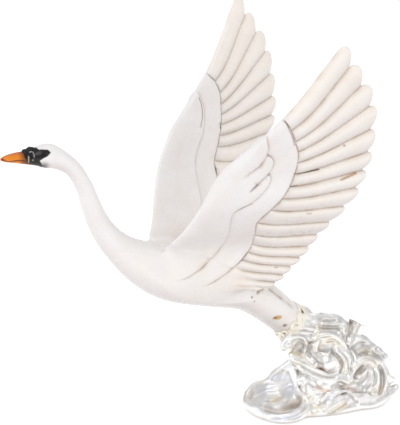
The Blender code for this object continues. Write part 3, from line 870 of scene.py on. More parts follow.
def paint_head(colour, points, places, cut):
    """Paint the bill, the mask, and the painted highlights and pale paint round the nostril."""
    front = places[:, 0] < HEAD_END
    bill = front * smooth_step(BILL_END - places[:, 0])
    edges = ramp(places[:, 1], *BILL_BELOW) * 0.7 + ramp(places[:, 1], *BILL_ABOVE) * 0.7
    orange = mix(np.tile(BILL_ORANGE, (len(places), 1)), BILL_DEEP, edges)
    orange = mix(orange, BILL_DEEP, ramp(places[:, 0], *BILL_TIP_SHADE) * 0.6)
    orange = mix(orange, BILL_ROOT, ramp(places[:, 0], *BILL_ROOT_SHADE) * 0.75)
    orange = mix(orange, BILL_ROOT, cut * 0.9)
    colour = colour + (orange - colour) * bill[:, None]
    inside = inside_outline(places, MASK) + MASK_RAGGED * (uneven(points, 1.5, 3) - 0.5)
    chin = away_from(places, CHIN)
    black = smooth_step(0.5 + inside / MASK_SOFT)
    airbrushed = smooth_step((CHIN_REACH - chin) / CHIN_REACH + 0.1) * (places[:, 0] > BILL_END)
    colour = mix(colour, MASK_BLACK, np.maximum(black, 0.85 * airbrushed) * front)
    # Painted highlights on the nostril ring, and pale paint beside it
    for line, width, tint, strength in NOSTRIL_HIGHLIGHTS_AND_PAINT:
        away = line_distance(places, curved(line, LINE_JOINS))[0]
        colour = mix(colour, tint, bell(away, width) * strength * front)
    return colour


def keep_paint(item, colour, share=None):
    """Keep colours with an object's points, and a share in their alpha, for its material to read."""
    share = np.ones(len(colour)) if share is None else share
    layer = item.data.color_attributes.new("paint", "FLOAT_COLOR", "POINT")
    layer.data.foreach_set("color", np.concatenate((colour, share[:, None]), axis=1).ravel())


def build_swan():
    """Make the swan."""
    body = body_object()
    right, right_points, right_data = wing_object("right_wing", 1)
    left, left_points, left_data = wing_object("left_wing", -1)
    trees = tree_of(body), [tree_of(right), tree_of(left)]
    swan = union_of("swan_figure", body, [right, left])
    take_data(swan, np.concatenate((right_points, left_points)), np.concatenate((right_data, left_data)))
    soften_joins(swan, *trees)
    refine(swan, mark_distance, 4)
    swan = union_of("swan_figure", swan, head_pieces())
    roughen(swan)
    engrave(swan)
    keep_paint(swan, paint_swan(swan))
    swan.data.shade_smooth()
    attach(swan, "root")
    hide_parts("swan")
    return swan


# The splash: solid lumps as a middle and three radii
LUMPS = [
    (21, -6, 40, 40, 36, 45), (46, -10, 26, 36, 40, 38), (26, -16, 6, 60, 46, 18),
    (-36, -20, 1, 40, 33, 9), (-10, 0, 84, 19, 21, 17), (-14, -11, 68, 13, 11, 14),
    (-3, -1, 96, 8, 10, 6), (28, 20, 24, 36, 26, 30), (-6, 20, 2, 30, 24, 13),
    (16, -12, 80, 26, 10, 13), (-12, -40, 17, 12, 10, 11), (4, -42, 29, 20, 9, 9),
    (24, -41, 27, 14, 8, 9), (-20, -38, 37, 10, 8, 8), (-13, -18, 80, 13, 9, 9)]
# Hollows: the warm cave under the curl, the dark one in the swirl, and the small bowl
HOLLOWS = [(7.5, -36, 69, 11, 9, 8), (44, -54, 40, 6, 5, 5), (-15, -32, 66, 8, 8, 7)]
# Small lumps, run in after the hollows are cut
BEADS = [
    (9, -33, 49.5, 12.5, 11, 12.5), (-17.5, -43, 29, 8, 6, 8), (66, -30, 55, 4, 5, 4),
    (59, -27, 61, 4, 5, 4), (73, -33, 49, 4, 5, 4), (79, -38, 42, 4, 4, 4),
    (51, -28, 66, 4, 5, 3), (-27, -25, 67, 3, 4, 3),
    (-23, -28, 60, 3, 3, 3), (20, -42, 30, 7, 5, 4), (28, -42, 26, 6, 5, 4)]
# Rolls of water, each a run of places with the roll's radius there
ROLLS = [
    # the rim of the scoop in front, and its rising back
    [(-66, 4, 9, 4), (-73, -7, 6, 5), (-70, -28, 5, 6), (-57, -47, 5, 7), (-40, -53, 6, 7),
     (-27, -49, 7, 6), (-22, -40, 12, 6), (-20, -28, 20, 6), (-19, -14, 31, 6), (-18, -5, 40, 4)],
    [(-66, 4, 9, 4), (-56, 9, 14, 4), (-44, 8, 15, 4.5), (-35, 6, 20, 4.5), (-25, 0, 32, 5.5),
     (-18, -6, 42, 5)],
    [(-66, 4, 3, 6), (-54, 9, 6, 7), (-42, 9, 6, 8), (-27, 5, 12, 11), (-8, 0, 26, 16)],
    # the drip and the small bowl under the tail
    [(-26, -20, 84, 5), (-36, -23, 80, 4), (-42, -25, 75, 3), (-39, -25, 71, 3)],
    [(-34, -24, 74, 3), (-29, -26, 80, 3), (-19, -26, 80, 3), (-14, -28, 74, 3.5),
     (-16, -32, 64, 3.5), (-24, -33, 61, 3), (-32, -28, 65, 3)],
    # the great curl: its arch, its inner crescent and its lower lip
    [(-12, -20, 68, 4), (-7, -23, 76, 5), (3, -24, 80, 5), (13, -25, 79, 5), (25, -27, 74, 5),
     (33, -32, 62, 5), (38, -40, 46, 5), (34, -45, 33, 4)],
    [(8, -32, 62, 2), (15, -34, 62, 3), (24, -36, 58, 4), (30, -40, 49, 4), (30, -44, 38, 3)],
    [(-34, -28, 62, 3), (-28, -32, 57, 4), (-21, -37, 51, 5), (-8, -41, 42, 5), (2, -44, 37, 5),
     (11, -45, 36, 5), (20, -43, 40, 4), (24, -40, 47, 3)],
    # the crest that runs over the top and folds down
    [(-8, -10, 93, 5), (2, -12, 93, 5), (12, -14, 89, 6), (24, -15, 88, 6), (34, -18, 84, 5),
     (39, -23, 77, 5), (38, -28, 66, 4), (37, -32, 56, 3)],
    # the leaf and the lobes on the right
    [(38, -28, 58, 6), (46, -28, 63, 7), (55, -28, 63, 6), (63, -28, 60, 3)],
    [(56, -28, 56, 7), (66, -32, 50, 7), (74, -36, 44, 6), (81, -40, 38, 3)],
    # the swirl on the right
    [(31, -46, 30, 4), (36, -44, 39, 5), (47, -41, 43, 5), (60, -40, 42, 6), (70, -42, 35, 6),
     (73, -47, 24, 7), (66, -53, 14, 6), (55, -57, 9, 5)],
    [(38, -48, 28, 3), (44, -46, 35, 4), (54, -45, 36, 4), (61, -47, 29, 5), (58, -52, 19, 5),
     (48, -55, 13, 4)],
    [(70, -48, 17, 6), (78, -50, 20, 5), (85, -49, 19, 2.5)],
    [(68, -54, 8, 6), (78, -55, 9, 5), (86, -52, 11, 3)],
    # folds over the skirt
    [(-13, -54, 8, 4), (-6, -53, 14, 4), (3, -51, 19, 4), (13, -49, 22, 3)],
    [(2, -55, 12, 4), (13, -54, 17, 4), (24, -52, 19, 4), (36, -54, 12, 5), (50, -58, 7, 5)],
    # the skirt's rim
    [(-24, -50, 4, 6), (-8, -54, 4, 7), (12, -58, 4, 7), (33, -60, 5, 7), (52, -63, 5, 7),
     (66, -57, 6, 7), (75, -45, 7, 7), (80, -30, 7, 6), (78, -10, 6, 6), (72, 12, 6, 6),
     (58, 30, 6, 7), (36, 42, 6, 7), (10, 44, 6, 7), (-14, 34, 6, 7), (-30, 16, 6, 6)],
    # plainer rolls behind
    [(-12, 16, 84, 6), (6, 22, 78, 6), (22, 27, 66, 6), (34, 30, 50, 6), (38, 36, 32, 6),
     (30, 40, 16, 6)],
    [(24, 8, 80, 6), (40, 14, 71, 6), (54, 20, 56, 6), (62, 24, 38, 6), (64, 24, 20, 6)],
    [(-6, 16, 66, 5), (-2, 26, 54, 6), (8, 33, 40, 6), (17, 38, 26, 6), (12, 41, 12, 6)]]
# The flared cup at the top: its foot, its mouth, and its radii outside and inside by its length
CUP_FOOT, CUP_MOUTH = (40, -24, 59), (54, -21, 81)
CUP_SHARES = (0, 0.5, 0.85, 1)
CUP_OUTSIDE, CUP_INSIDE = (4, 7, 10, 12), (0, 2.2, 7.2, 9.8)
CUP_MARGIN = 4
# Short straight runs that a line and a roll are made of, from one place of theirs to the next
LINE_JOINS, ROLL_JOINS = 5, 6

# The grid of places on which the splash is worked out: its spacing, and its room round and above
CELL = 1.0
GRID_MARGIN, GRID_ROOM_ABOVE = 6, 16
# Rounds of settling places where the splash would touch itself, and how far inside they are put
SETTLE_ROUNDS, SETTLE_DEPTH = 12, 0.05
# Rounds of evening out the splash's skin before and after its relief is drawn
SKIN_ROUNDS, RELIEF_ROUNDS = 6, 2
# How softly the splash's forms run together, and how far beyond its blend a roll is worked out
LUMP_BLEND, ROLL_BLEND, HOLLOW_BLEND, BEAD_BLEND = 5.0, 2.6, 2.5, 1.2
CUP_BLEND, CRUST_BLEND, TAIL_BLEND = 1.2, 1.4, 0.3
ROLL_MARGIN = 2
# The spine's ring from which the tail is in the splash, how deep its skin sits there, and its margin
TAIL_FROM = 25
TAIL_OVERLAP, TAIL_MARGIN = 1.0, 4


def smooth_min(one, other, blend):
    """Give the smaller of two fields, run together softly."""
    share = np.clip(0.5 + 0.5 * (other - one) / blend, 0, 1)
    return other * (1 - share) + one * share - blend * share * (1 - share)


# Ridges and grooves of the near side, as seen in the picture: height, width, and places in its pixels
STROKES = [
    # the scoop's rim: its bright crests with a groove between them, and the wall's foot
    (1.2, 1.5, [(245, 398), (253, 401), (258, 408), (264, 412.5), (274, 415.5), (284, 415), (292, 414),
                (300, 410), (304, 403), (303, 396), (301.5, 389), (302.5, 384)]),
    (-1.2, 1.3, [(268, 417), (281, 417.3), (292, 416.8), (299, 413.5), (305, 408), (308, 401)]),
    (1.2, 1.5, [(276, 419.5), (284, 419.5), (293, 419.3), (300, 416.5), (306.5, 411), (310.5, 404)]),
    (-1.6, 3.0, [(262, 405), (270, 409.5), (280, 410.5), (290, 407.5), (297, 401), (299.5, 392)]),
    (0.8, 1.2, [(266, 402), (276, 405.5), (286, 402.5), (293, 395), (295, 386)]),
    (-0.7, 1.0, [(263, 399), (271, 400.5), (279, 399), (284, 394)]),
    (0.7, 1.5, [(252, 392), (262, 389), (272, 387), (282, 385.5), (287, 382)]),
    (-1.2, 1.2, [(270, 380), (274, 376.5), (280, 373), (285, 369.5)]),
    (1.0, 1.3, [(268, 383), (276, 382), (283, 379.5), (286, 374), (289, 367.5)]),
    (1.1, 1.0, [(292, 366), (295, 371), (297.5, 378), (298.5, 386), (297, 394)]),
    (-0.4, 0.9, [(296, 367), (299.5, 374), (301, 381), (300, 388), (300.8, 394)]),
    # the pocket and what is round it
    (1.1, 0.9, [(303.5, 396), (302.3, 390), (303.3, 385), (306, 382), (310, 381.3), (314, 383),
                (316, 386.5)]),
    (-1.1, 1.0, [(305.5, 394), (304.7, 389), (306, 385.4), (309, 383.8), (312.5, 385), (314, 389)]),
    (-0.5, 1.2, [(301, 377), (305, 378.5), (311, 378), (314, 379.5), (318, 383.5)]),
    (1.0, 1.2, [(305, 402), (309, 400.5), (312, 396), (314, 391), (320, 389.5)]),
    (-0.3, 1.2, [(313.5, 399), (312.5, 406), (312.5, 416)]),
    # the small bowl's ring, its drip and the crust under it
    (1.2, 0.8, [(288, 342), (292, 338.5), (299, 337.2), (304, 338.7), (306.3, 343), (306.8, 349),
                (305, 354)]),
    (-1.3, 0.9, [(306, 336.5), (309, 341), (309.6, 348), (308, 354), (310, 359)]),
    (-1.0, 1.0, [(289, 344), (293, 341), (299, 340), (303, 342), (304, 347), (302.5, 352)]),
    (1.2, 1.2, [(281, 346.5), (284.5, 348), (289, 345), (293, 345.5)]),
    (-1.0, 1.0, [(291, 335), (300, 334), (308, 335.3), (316, 334.5)]),
    (-1.1, 0.9, [(292, 331), (300, 331), (308, 330.5), (317, 333)]),
    (0.9, 0.8, [(293, 333), (302, 332.5), (311, 333), (318, 335.5)]),
    (0.9, 0.8, [(298, 328.5), (306, 328), (313, 328.8), (319, 330)]),
    # the lip under the curl
    (1.3, 1.0, [(289, 358), (294, 361), (300, 363.5), (307, 366), (314, 369.5), (322, 372), (330, 372)]),
    (-1.5, 0.9, [(290, 361), (297, 365), (304, 367.3), (311, 371), (317, 374), (325, 376.5), (334, 376.5),
                 (340, 374)]),
    (1.1, 1.0, [(289, 363.5), (295, 366.8), (302, 370.5), (309, 374), (317, 377.5), (326, 379.5),
                (335, 379.5), (342, 376.5)]),
    (-1.2, 1.0, [(297, 370), (304, 374), (311, 377)]),
    (-1.3, 1.6, [(309, 352), (311, 357), (315, 361), (318, 366)]),
    # the curl: its arch, the cave's edge, the dark crescent and the pale ones beside it
    (1.3, 1.0, [(311, 343), (316, 338), (322, 335.4), (329, 334.4), (335, 335.8), (340, 339.5), (345, 346)]),
    (-1.1, 0.9, [(309, 338), (314, 334.8), (321, 332.2), (329, 331.3), (337, 332.7), (342, 336.5),
                 (347, 344), (350, 352)]),
    (-1.4, 1.4, [(318, 349.5), (322, 350), (327, 350.3), (333, 349)]),
    (0.9, 0.9, [(326, 342), (331, 339.5), (336, 342), (341, 347)]),
    (-2.6, 0.95, [(325, 350.5), (329, 351), (334, 353.2), (338.7, 357), (341.7, 363), (342, 369),
                  (340, 374.5)]),
    (1.5, 1.3, [(334, 350.6), (340, 354), (344.2, 359.5), (346.2, 366), (345.7, 373)]),
    (-1.4, 0.8, [(341, 351.5), (346, 356.5), (348.6, 363), (349, 370), (347.5, 376)]),
    (1.2, 1.0, [(344, 351), (349, 356), (351.5, 363), (351.8, 371)]),
    (1.0, 1.1, [(315, 356), (320, 352.8), (326, 352.3), (332, 354.3)]),
    (-0.8, 1.4, [(317, 366), (320, 364.5), (324, 365.5)]),
    # the crest over the top, and the folds that come down from it
    (1.2, 1.0, [(310, 313.5), (318, 315.3), (326, 316), (333, 315), (339, 317), (344, 322), (346.4, 329),
                (346.8, 337)]),
    (-1.3, 1.0, [(322, 320.5), (327, 320.5), (332, 321), (338, 319.5)]),
    (1.1, 0.9, [(320, 323.5), (327, 324), (333, 324.3), (340, 323.2), (344, 325)]),
    (-1.2, 0.9, [(320, 327), (328, 327.5), (335, 327.3), (341, 328)]),
    (1.0, 0.8, [(312, 318), (316, 323), (318.3, 329), (319, 335)]),
    (1.2, 0.8, [(338, 331), (341.5, 336), (345, 342.5), (348.5, 349)]),
    (-1.1, 0.7, [(341.5, 331), (344.5, 336.5), (348, 343), (351, 350)]),
    (-2.0, 1.0, [(348, 331), (348.6, 338), (349.2, 345), (352.5, 351), (353, 358), (351.5, 366),
                 (349.5, 374)]),
    # the cup's two leaves
    (1.0, 0.8, [(350, 336), (351.5, 328), (354, 321)]),
    (-1.2, 0.8, [(355.5, 335), (358, 328), (361.5, 322.5)]),
    # the leaf
    (1.2, 0.9, [(352, 346), (357, 342.3), (364, 340.3), (370, 344.5), (375, 350)]),
    (-1.3, 1.1, [(352, 350), (355, 345), (361, 343.3), (366, 346)]),
    (1.0, 0.9, [(355, 354), (360, 348), (366, 347), (372, 353), (379, 358), (383.5, 364)]),
    (-1.1, 0.8, [(358, 355), (364, 351.5), (370, 354.5)]),
    (-1.4, 0.9, [(376, 347), (378, 349.5)]), (-1.6, 1.0, [(383, 353), (385.5, 357.5)]),
    (-0.9, 0.8, [(370, 349.5), (376, 354.5), (380, 356)]),
    # the swirl's arcs, from the outside in
    (1.3, 1.1, [(353, 363), (359, 358.5), (367, 357), (375, 358.7), (381, 363.5), (385, 371.5),
                (386.6, 380), (385.5, 390), (382, 398)]),
    (-1.5, 1.1, [(378, 363.5), (381.5, 371), (382.7, 380), (381.5, 389), (378.5, 396)]),
    (1.2, 1.0, [(356, 367.5), (362, 362.5), (369, 361), (374.5, 364.5), (377.8, 372), (378.3, 381),
                (376, 390)]),
    (-1.3, 0.9, [(372.5, 365.5), (375, 373), (375, 381), (371.5, 388)]),
    (1.1, 0.8, [(371, 366), (372.3, 372), (369.5, 379), (364.5, 385.5), (358, 389)]),
    (-1.1, 0.7, [(369, 371), (367, 377.5), (362, 383.5), (356.5, 386.3)]),
    (1.1, 0.7, [(368.6, 366.5), (366, 373), (361.5, 379), (355.5, 382.5)]),
    (-2.0, 2.2, [(366, 365.5), (362.5, 370), (358, 375), (354, 379)]),
    (1.0, 0.9, [(359.5, 364.5), (355, 370), (352.5, 377), (350, 383)]),
    (-1.0, 0.8, [(388, 378), (389, 385), (386.5, 393)]),
    (1.0, 0.8, [(386, 374), (391, 377.8), (395, 381.5)]),
    (1.0, 0.8, [(395, 383.5), (397.5, 387), (394, 392.5), (388, 397)]),
    # the folds at the middle and the star where they meet
    (1.1, 1.5, [(332, 383), (338, 380), (345, 381), (350, 385)]),
    (-1.3, 0.9, [(330, 387.5), (336, 386.3), (343, 387.5), (350, 388.5)]),
    (-1.0, 1.0, [(338, 382.5), (343, 383.8), (347, 386)]),
    (1.0, 1.0, [(318, 389), (326, 391.3), (334, 391.5), (341, 390)]),
    (-2.4, 1.0, [(341.5, 393), (345, 393.8), (348.5, 393.4)]),
    (-1.5, 0.7, [(347.5, 393.6), (352, 396), (356, 400.5), (358, 404)]),
    (-1.2, 0.8, [(343, 393), (337.5, 395.5), (333, 401), (329.5, 406)]),
    (-1.2, 0.8, [(350, 392), (358, 391), (366, 391.5), (374, 394.5)]),
    (1.1, 1.0, [(316, 397), (322, 394), (329, 393.5), (335, 394)]),
    (-1.2, 1.3, [(332, 395.5), (327, 400), (321, 403.5), (316, 403)]),
    (1.2, 1.0, [(336, 397.5), (332, 402), (327, 406.5), (320, 408.5), (315, 406)]),
    (1.2, 1.2, [(345, 397), (341, 402), (334.5, 408), (326, 412.3), (318, 412)]),
    (-1.1, 1.0, [(349, 401), (343, 406), (335, 411), (325, 414.5)]),
    (0.9, 2.0, [(356, 404), (364, 405.5), (373, 405), (380, 401)])]
# How much higher and wider the strokes are made than they are drawn
STROKE_SCALE, STROKE_SPREAD = 1.8, 1.35
# The share of a stroke that fades at each end, and how far the surface faces the camera for full height
STROKE_FADE, STROKE_FACING = 0.14, 0.4
# Relief all over: slow ripples and low wrinkles, each a height, a spacing and a seed
RIPPLES = ((0.25, 15.0, 6), (0.03, 4.0, 7))
# How far the ripples wander, how steep their folds are, and the level that they rise from
RIPPLE_WARP, RIPPLE_STEEPNESS, RIPPLE_LEVEL = 1.2, 2.2, 0.35
# The relief starts at this height above the ground and is full this much higher
RELIEF_FOOT, RELIEF_RISE = 1.0, 4
# Crust where the tail meets the splash: its middle and direction along X and Z, its radius and length
CRUST_MIDDLE, CRUST_AXIS, CRUST_RADIUS = (-23.5, 0, 92.5), (0.70, 0, -0.714), 19.0
CRUST_COUNT, CRUST_FROM, CRUST_TO = 260, -4.0, 13.0
# The crust's lumps: their seed, how far in and out they are scattered, how the ring widens, and sizes
CRUST_SEED, CRUST_SCATTER, CRUST_FLARE, CRUST_SIZES = 5, (-1.2, 0.8), 0.15, (1.2, 2.6)
# The crust's cream: how wide, how far down and how far up it reaches, how ragged and how soft its ends are
CREAM_WIDTH, CREAM_END, CREAM_START = 27, 11, -12
CREAM_RAGGED, CREAM_SOFT_END, CREAM_SOFT_SIDE = 9, 6, 5
# How open a place is, tried at distances out from the surface, each with its weight
RECESS_TRIES = ((2.0, 0.4), (5.0, 0.35), (9.0, 0.25))
# Silver and what darkens or tints it: painted shade, patina, stains and a painted cool reflection
SILVER, PAINTED_RECESS_SHADE, PATINA_AND_SHADOW = tone(248, 247, 244), tone(204, 197, 190), tone(176, 146, 116)
OCHRE, RUST, PAINTED_COOL_REFLECTION = tone(222, 200, 152), tone(206, 150, 104), tone(228, 231, 240)
PAINTED_SHADE_GREY = tone(156, 148, 140)
# Where the splash's tints come in, each a start and a length: painted shade and patina by how deep in a
# recess, and ochre by noise
SHADED_RECESS, DEEP_RECESS = (0.3, 0.5), (0.5, 0.4)
OCHRE_CLOUDS, OCHRE_CRUMBS = (0.55, 0.2), (0.52, 0.2)
# How far up from the ground the foot is darkened with painted shade, and how far the surface faces the
# camera for the stains and the painted shade and light
FOOT_SHADE, STAIN_AND_LIGHT_FACING = 6.0, 0.2
# Stains on the splash, with painted shade and painted cool reflections among them, as seen in the picture:
# colour, strength, width, and places in its pixels
SPLASH_STAINS_AND_PAINTED_LIGHT = [
    (RUST, 0.55, 2.2, [(316, 386), (322, 389), (329, 390.5)]), (RUST, 0.5, 1.6, [(347, 388), (356, 390)]),
    (RUST, 0.7, 1.5, [(319, 348), (321.5, 346)]), (OCHRE, 0.7, 2.4, [(322, 343), (330, 340), (336, 344)]),
    (OCHRE, 0.6, 1.8, [(273, 401), (279, 399.5), (284, 394.5)]),
    (OCHRE, 0.6, 1.2, [(305, 398), (305.5, 400)]),
    (RUST, 0.4, 1.5, [(382.5, 387), (381, 392)]), (OCHRE, 0.5, 1.5, [(343, 362), (344, 370)]),
    (tone(70, 60, 40), 0.8, 0.8, [(340.3, 370), (340.5, 373)]),
    (tone(50, 34, 28), 0.9, 0.9, [(343, 393.3), (347, 393.8)]),
    (tone(50, 40, 34), 0.85, 0.7, [(327, 350.8), (330, 351.3), (335, 354)]),
    (OCHRE, 0.6, 2.5, [(290, 352), (297, 354), (303, 357)]), (OCHRE, 0.4, 3.0, [(330, 411), (345, 405)]),
    # Painted cool reflections on the scoop, its rim and a fold
    (PAINTED_SHADE_GREY, 0.7, 4.0, [(366, 366), (357, 378)]), (PAINTED_COOL_REFLECTION, 0.8, 7.0, [(262, 390), (285, 378), (290, 390)]),
    (PAINTED_COOL_REFLECTION, 0.8, 4.0, [(258, 412), (275, 418), (298, 416)]), (PAINTED_COOL_REFLECTION, 0.8, 2.0, [(332, 395), (328, 399)]),
    (PAINTED_SHADE_GREY, 0.85, 4.6, [(350.5, 333), (353, 323)]), (OCHRE, 0.35, 2.4, [(365, 350), (375, 355)]),
    (PAINTED_SHADE_GREY, 0.55, 6.0, [(356, 350), (366, 348), (377, 357)]), (PAINTED_SHADE_GREY, 0.5, 3.0, [(320, 319), (340, 320.5)]),
    (PAINTED_SHADE_GREY, 0.4, 4.0, [(318, 327), (338, 328)]), (PAINTED_SHADE_GREY, 0.4, 5.0, [(368, 376), (362, 386)]),
    (PAINTED_SHADE_GREY, 0.5, 3.0, [(380, 372), (383, 388)]), (PAINTED_SHADE_GREY, 0.4, 3.0, [(393, 386), (388, 396)]),
    (PAINTED_SHADE_GREY, 0.85, 3.6, [(313, 342), (315, 348), (318, 354)]), (PAINTED_SHADE_GREY, 0.5, 2.4, [(325, 352), (330, 357)]),
    (PAINTED_SHADE_GREY, 0.35, 5.0, [(365, 398), (380, 398)]),
    # The brown band low in the scoop is a painted shadow
    (OCHRE, 0.45, 1.6, [(319, 325), (324, 329)]), (PATINA_AND_SHADOW, 0.5, 3.5, [(285, 408), (297, 402)])]


class Field:
    """How far each place of a grid is from a form: under 0 inside it."""

    def __init__(self, low, high):
        self.low = np.array(low, float)
        count = np.ceil((np.array(high) - self.low) / CELL).astype(int) + 1
        self.axes = [self.low[axis] + CELL * np.arange(count[axis]) for axis in range(3)]
        self.value = np.full(count, FAR_AWAY, np.float32)

    def window(self, low, high):
        """Give the slices of the grid between two corners, and the places there."""
        cut = tuple(slice(max(int((low[axis] - self.low[axis]) / CELL), 0),
                          max(int((high[axis] - self.low[axis]) / CELL) + 2, 0)) for axis in range(3))
        x, y, z = (self.axes[axis][cut[axis]].astype(np.float32) for axis in range(3))
        return cut, (x[:, None, None], y[None, :, None], z[None, None, :])

    def add(self, cut, distance, blend):
        """Run a form into the field."""
        self.value[cut] = smooth_min(self.value[cut], distance, blend)

    def carve(self, cut, distance, blend):
        """Cut a form out of the field."""
        self.value[cut] = -smooth_min(-self.value[cut], distance, blend)

    def lump(self, lump, blend):
        """Give the distance to a solid lump, in a window round it."""
        centre, radii = np.array(lump[:3], float), np.array(lump[3:], float)
        cut, places = self.window(centre - radii - 2 * blend, centre + radii + 2 * blend)
        near = sum(((places[axis] - centre[axis]) / radii[axis]) ** 2 for axis in range(3)) ** 0.5
        steep = sum(((places[axis] - centre[axis]) / radii[axis] ** 2) ** 2 for axis in range(3)) ** 0.5
        return cut, near * (near - 1) / np.maximum(steep, 1e-6)

    def at(self, points):
        """Read the field at places inside the grid."""
        spot = (points - self.low) / CELL
        cell = np.clip(np.floor(spot).astype(int), 0, np.array(self.value.shape) - 2)
        share = np.clip(spot - cell, 0, 1)
        total = np.zeros(len(points))
        for corner in np.ndindex(2, 2, 2):
            weight = np.prod(np.where(corner, share, 1 - share), axis=1)
            total += weight * self.value[tuple((cell + corner).T)]
        return total

    def distance_to(self, route, margin):
        """Give the distance to a roll whose places and radii are listed, in a window round it."""
        low = (route[:, :3] - route[:, 3:]).min(axis=0) - margin
        high = (route[:, :3] + route[:, 3:]).max(axis=0) + margin
        whole, _ = self.window(low, high)
        distance = np.full(self.value[whole].shape, FAR_AWAY, np.float32)
        for start, end in zip(route, route[1:]):
            reach = max(start[3], end[3]) + margin
            cut, places = self.window(np.minimum(start, end)[:3] - reach,
                                      np.maximum(start, end)[:3] + reach)
            inner = tuple(slice(max(part.start - first.start, 0), max(part.stop - first.start, 0))
                          for part, first in zip(cut, whole))
            along = end[:3] - start[:3]
            offset = [places[axis] - start[axis] for axis in range(3)]
            share = sum(offset[axis] * along[axis] for axis in range(3)) / max(along @ along, 1e-9)
            share = np.clip(share, 0, 1)
            away = sum((offset[axis] - share * along[axis]) ** 2 for axis in range(3)) ** 0.5
            away -= start[3] + (end[3] - start[3]) * share
            part = distance[inner]
            np.minimum(part, away[:part.shape[0], :part.shape[1], :part.shape[2]], out=part)
        return whole, distance

    def roll(self, places, blend):
        """Run a roll of water into the field."""
        self.add(*self.distance_to(curved(places, ROLL_JOINS), 2 * blend + ROLL_MARGIN), blend)


def add_cup(field):
    """Run the flared cup into the field."""
    foot, mouth = np.array(CUP_FOOT, float), np.array(CUP_MOUTH, float)
    length = np.linalg.norm(mouth - foot)
    axis = (mouth - foot) / length
    margin = max(CUP_OUTSIDE) + CUP_MARGIN
    cut, places = field.window(np.minimum(foot, mouth) - margin, np.maximum(foot, mouth) + margin)
    along = sum((places[side] - foot[side]) * axis[side] for side in range(3))
    away = np.sqrt(np.maximum(
        sum((places[side] - foot[side]) ** 2 for side in range(3)) - along ** 2, 0))
    share = along / length
    outside, inside = (away - np.interp(share, CUP_SHARES, radii) for radii in (CUP_OUTSIDE, CUP_INSIDE))
    outside = np.maximum(outside, np.abs(along - length / 2) - length / 2)
    field.add(cut, np.maximum(outside, -inside).astype(np.float32), CUP_BLEND)


def settle(value):
    """Change the least places of a grid whose inside touches itself only across a square's corners."""
    for _ in range(SETTLE_ROUNDS):
        found = False
        for normal in range(3):
            one, other = [axis for axis in range(3) if axis != normal]
            corners = []
            for along_one, along_other in ((0, 0), (1, 0), (1, 1), (0, 1)):
                part = [slice(None)] * 3
                part[one] = slice(along_one, value.shape[one] - 1 + along_one)
                part[other] = slice(along_other, value.shape[other] - 1 + along_other)
                corners.append(value[tuple(part)])
            inside = [corner < 0 for corner in corners]
            crossed = (inside[0] == inside[2]) & (inside[1] == inside[3]) & (inside[0] != inside[1])
            for corner, within in zip(corners[:2], inside[:2]):
                fill = crossed & ~within
                corner[fill] = -SETTLE_DEPTH
                found = found or bool(fill.any())
        if not found:
            return


def skin_of(field):
    """Skin a field where it crosses 0: a point in each cell that it crosses, and quads between them."""
    value = field.value
    settle(value)
    cells = np.array(value.shape) - 1
    size = int(np.prod(cells))
    total, hits, quads = np.zeros((size, 3)), np.zeros(size), []
    for axis in range(3):
        before, after = [slice(None)] * 3, [slice(None)] * 3
        before[axis], after[axis] = slice(None, -1), slice(1, None)
        start, end = value[tuple(before)], value[tuple(after)]
        spots = np.argwhere((start < 0) != (end < 0))
        one, other = (axis + 1) % 3, (axis + 2) % 3
        spots = spots[(spots[:, one] > 0) & (spots[:, other] > 0)
                      & (spots[:, one] < cells[one]) & (spots[:, other] < cells[other])]
        first, last = start[tuple(spots.T)], end[tuple(spots.T)]
        crossing = spots.astype(float)
        crossing[:, axis] += first / (first - last)
        corners = []
        for back_one, back_other in ((1, 1), (0, 1), (0, 0), (1, 0)):
            cell = spots.copy()
            cell[:, one] -= back_one
            cell[:, other] -= back_other
            corner = np.ravel_multi_index(cell.T, cells)
            corners.append(corner)
            hits += np.bincount(corner, minlength=size)
            for side in range(3):
                total[:, side] += np.bincount(corner, crossing[:, side], size)
        quad = np.stack(corners, axis=1)
        quads.append(np.where((first < 0)[:, None], quad, quad[:, ::-1]))
    faces = np.concatenate(quads)
    used, faces = np.unique(faces, return_inverse=True)
    points = total[used] / hits[used, None] * CELL + field.low
    return largest_piece(points, faces.reshape(-1, 4))


def largest_piece(points, faces):
    """Keep the largest connected piece of a mesh."""
    label = np.arange(len(points))
    while True:
        least = label[faces].min(axis=1)
        lower = label.copy()
        for corner in range(4):
            np.minimum.at(lower, faces[:, corner], least)
        lower = lower[lower]
        if np.array_equal(lower, label):
            break
        label = lower
    kept = label == np.argmax(np.bincount(label))
    renumber = np.cumsum(kept) - 1
    return points[kept], renumber[faces[kept[faces[:, 0]]]]


def crust_lumps():
    """Scatter the small lumps of the crust round the tail."""
    chance = random.Random(CRUST_SEED)
    middle, axis = np.array(CRUST_MIDDLE), np.array(CRUST_AXIS)
    side, lift = np.array((0, 1, 0)), np.cross(axis, (0, 1, 0))
    lumps = []
    for _ in range(CRUST_COUNT):
        turn = chance.uniform(0, 2 * math.pi)
        along = chance.uniform(CRUST_FROM, CRUST_TO)
        away = CRUST_RADIUS + chance.uniform(*CRUST_SCATTER) + max(along, 0) * CRUST_FLARE
        place = middle + axis * along + away * (side * math.cos(turn) + lift * math.sin(turn))
        size = chance.uniform(*CRUST_SIZES)
        lumps.append((*place, size, size * chance.uniform(0.7, 1.2), size * chance.uniform(0.7, 1.1)))
    return lumps


def crust_share(points):
    """Tell how much of each place is crust and not silver."""
    offset = points - CRUST_MIDDLE
    along = offset @ np.array(CRUST_AXIS)
    away = np.linalg.norm(offset - along[:, None] * np.array(CRUST_AXIS), axis=1)
    ragged = CREAM_RAGGED * (uneven(points, 6, 4) - 0.5)
    end = smooth_step((CREAM_END + ragged - along) / CREAM_SOFT_END)
    return end * ramp(away, CREAM_WIDTH, -CREAM_SOFT_SIDE) * (along > CREAM_START)


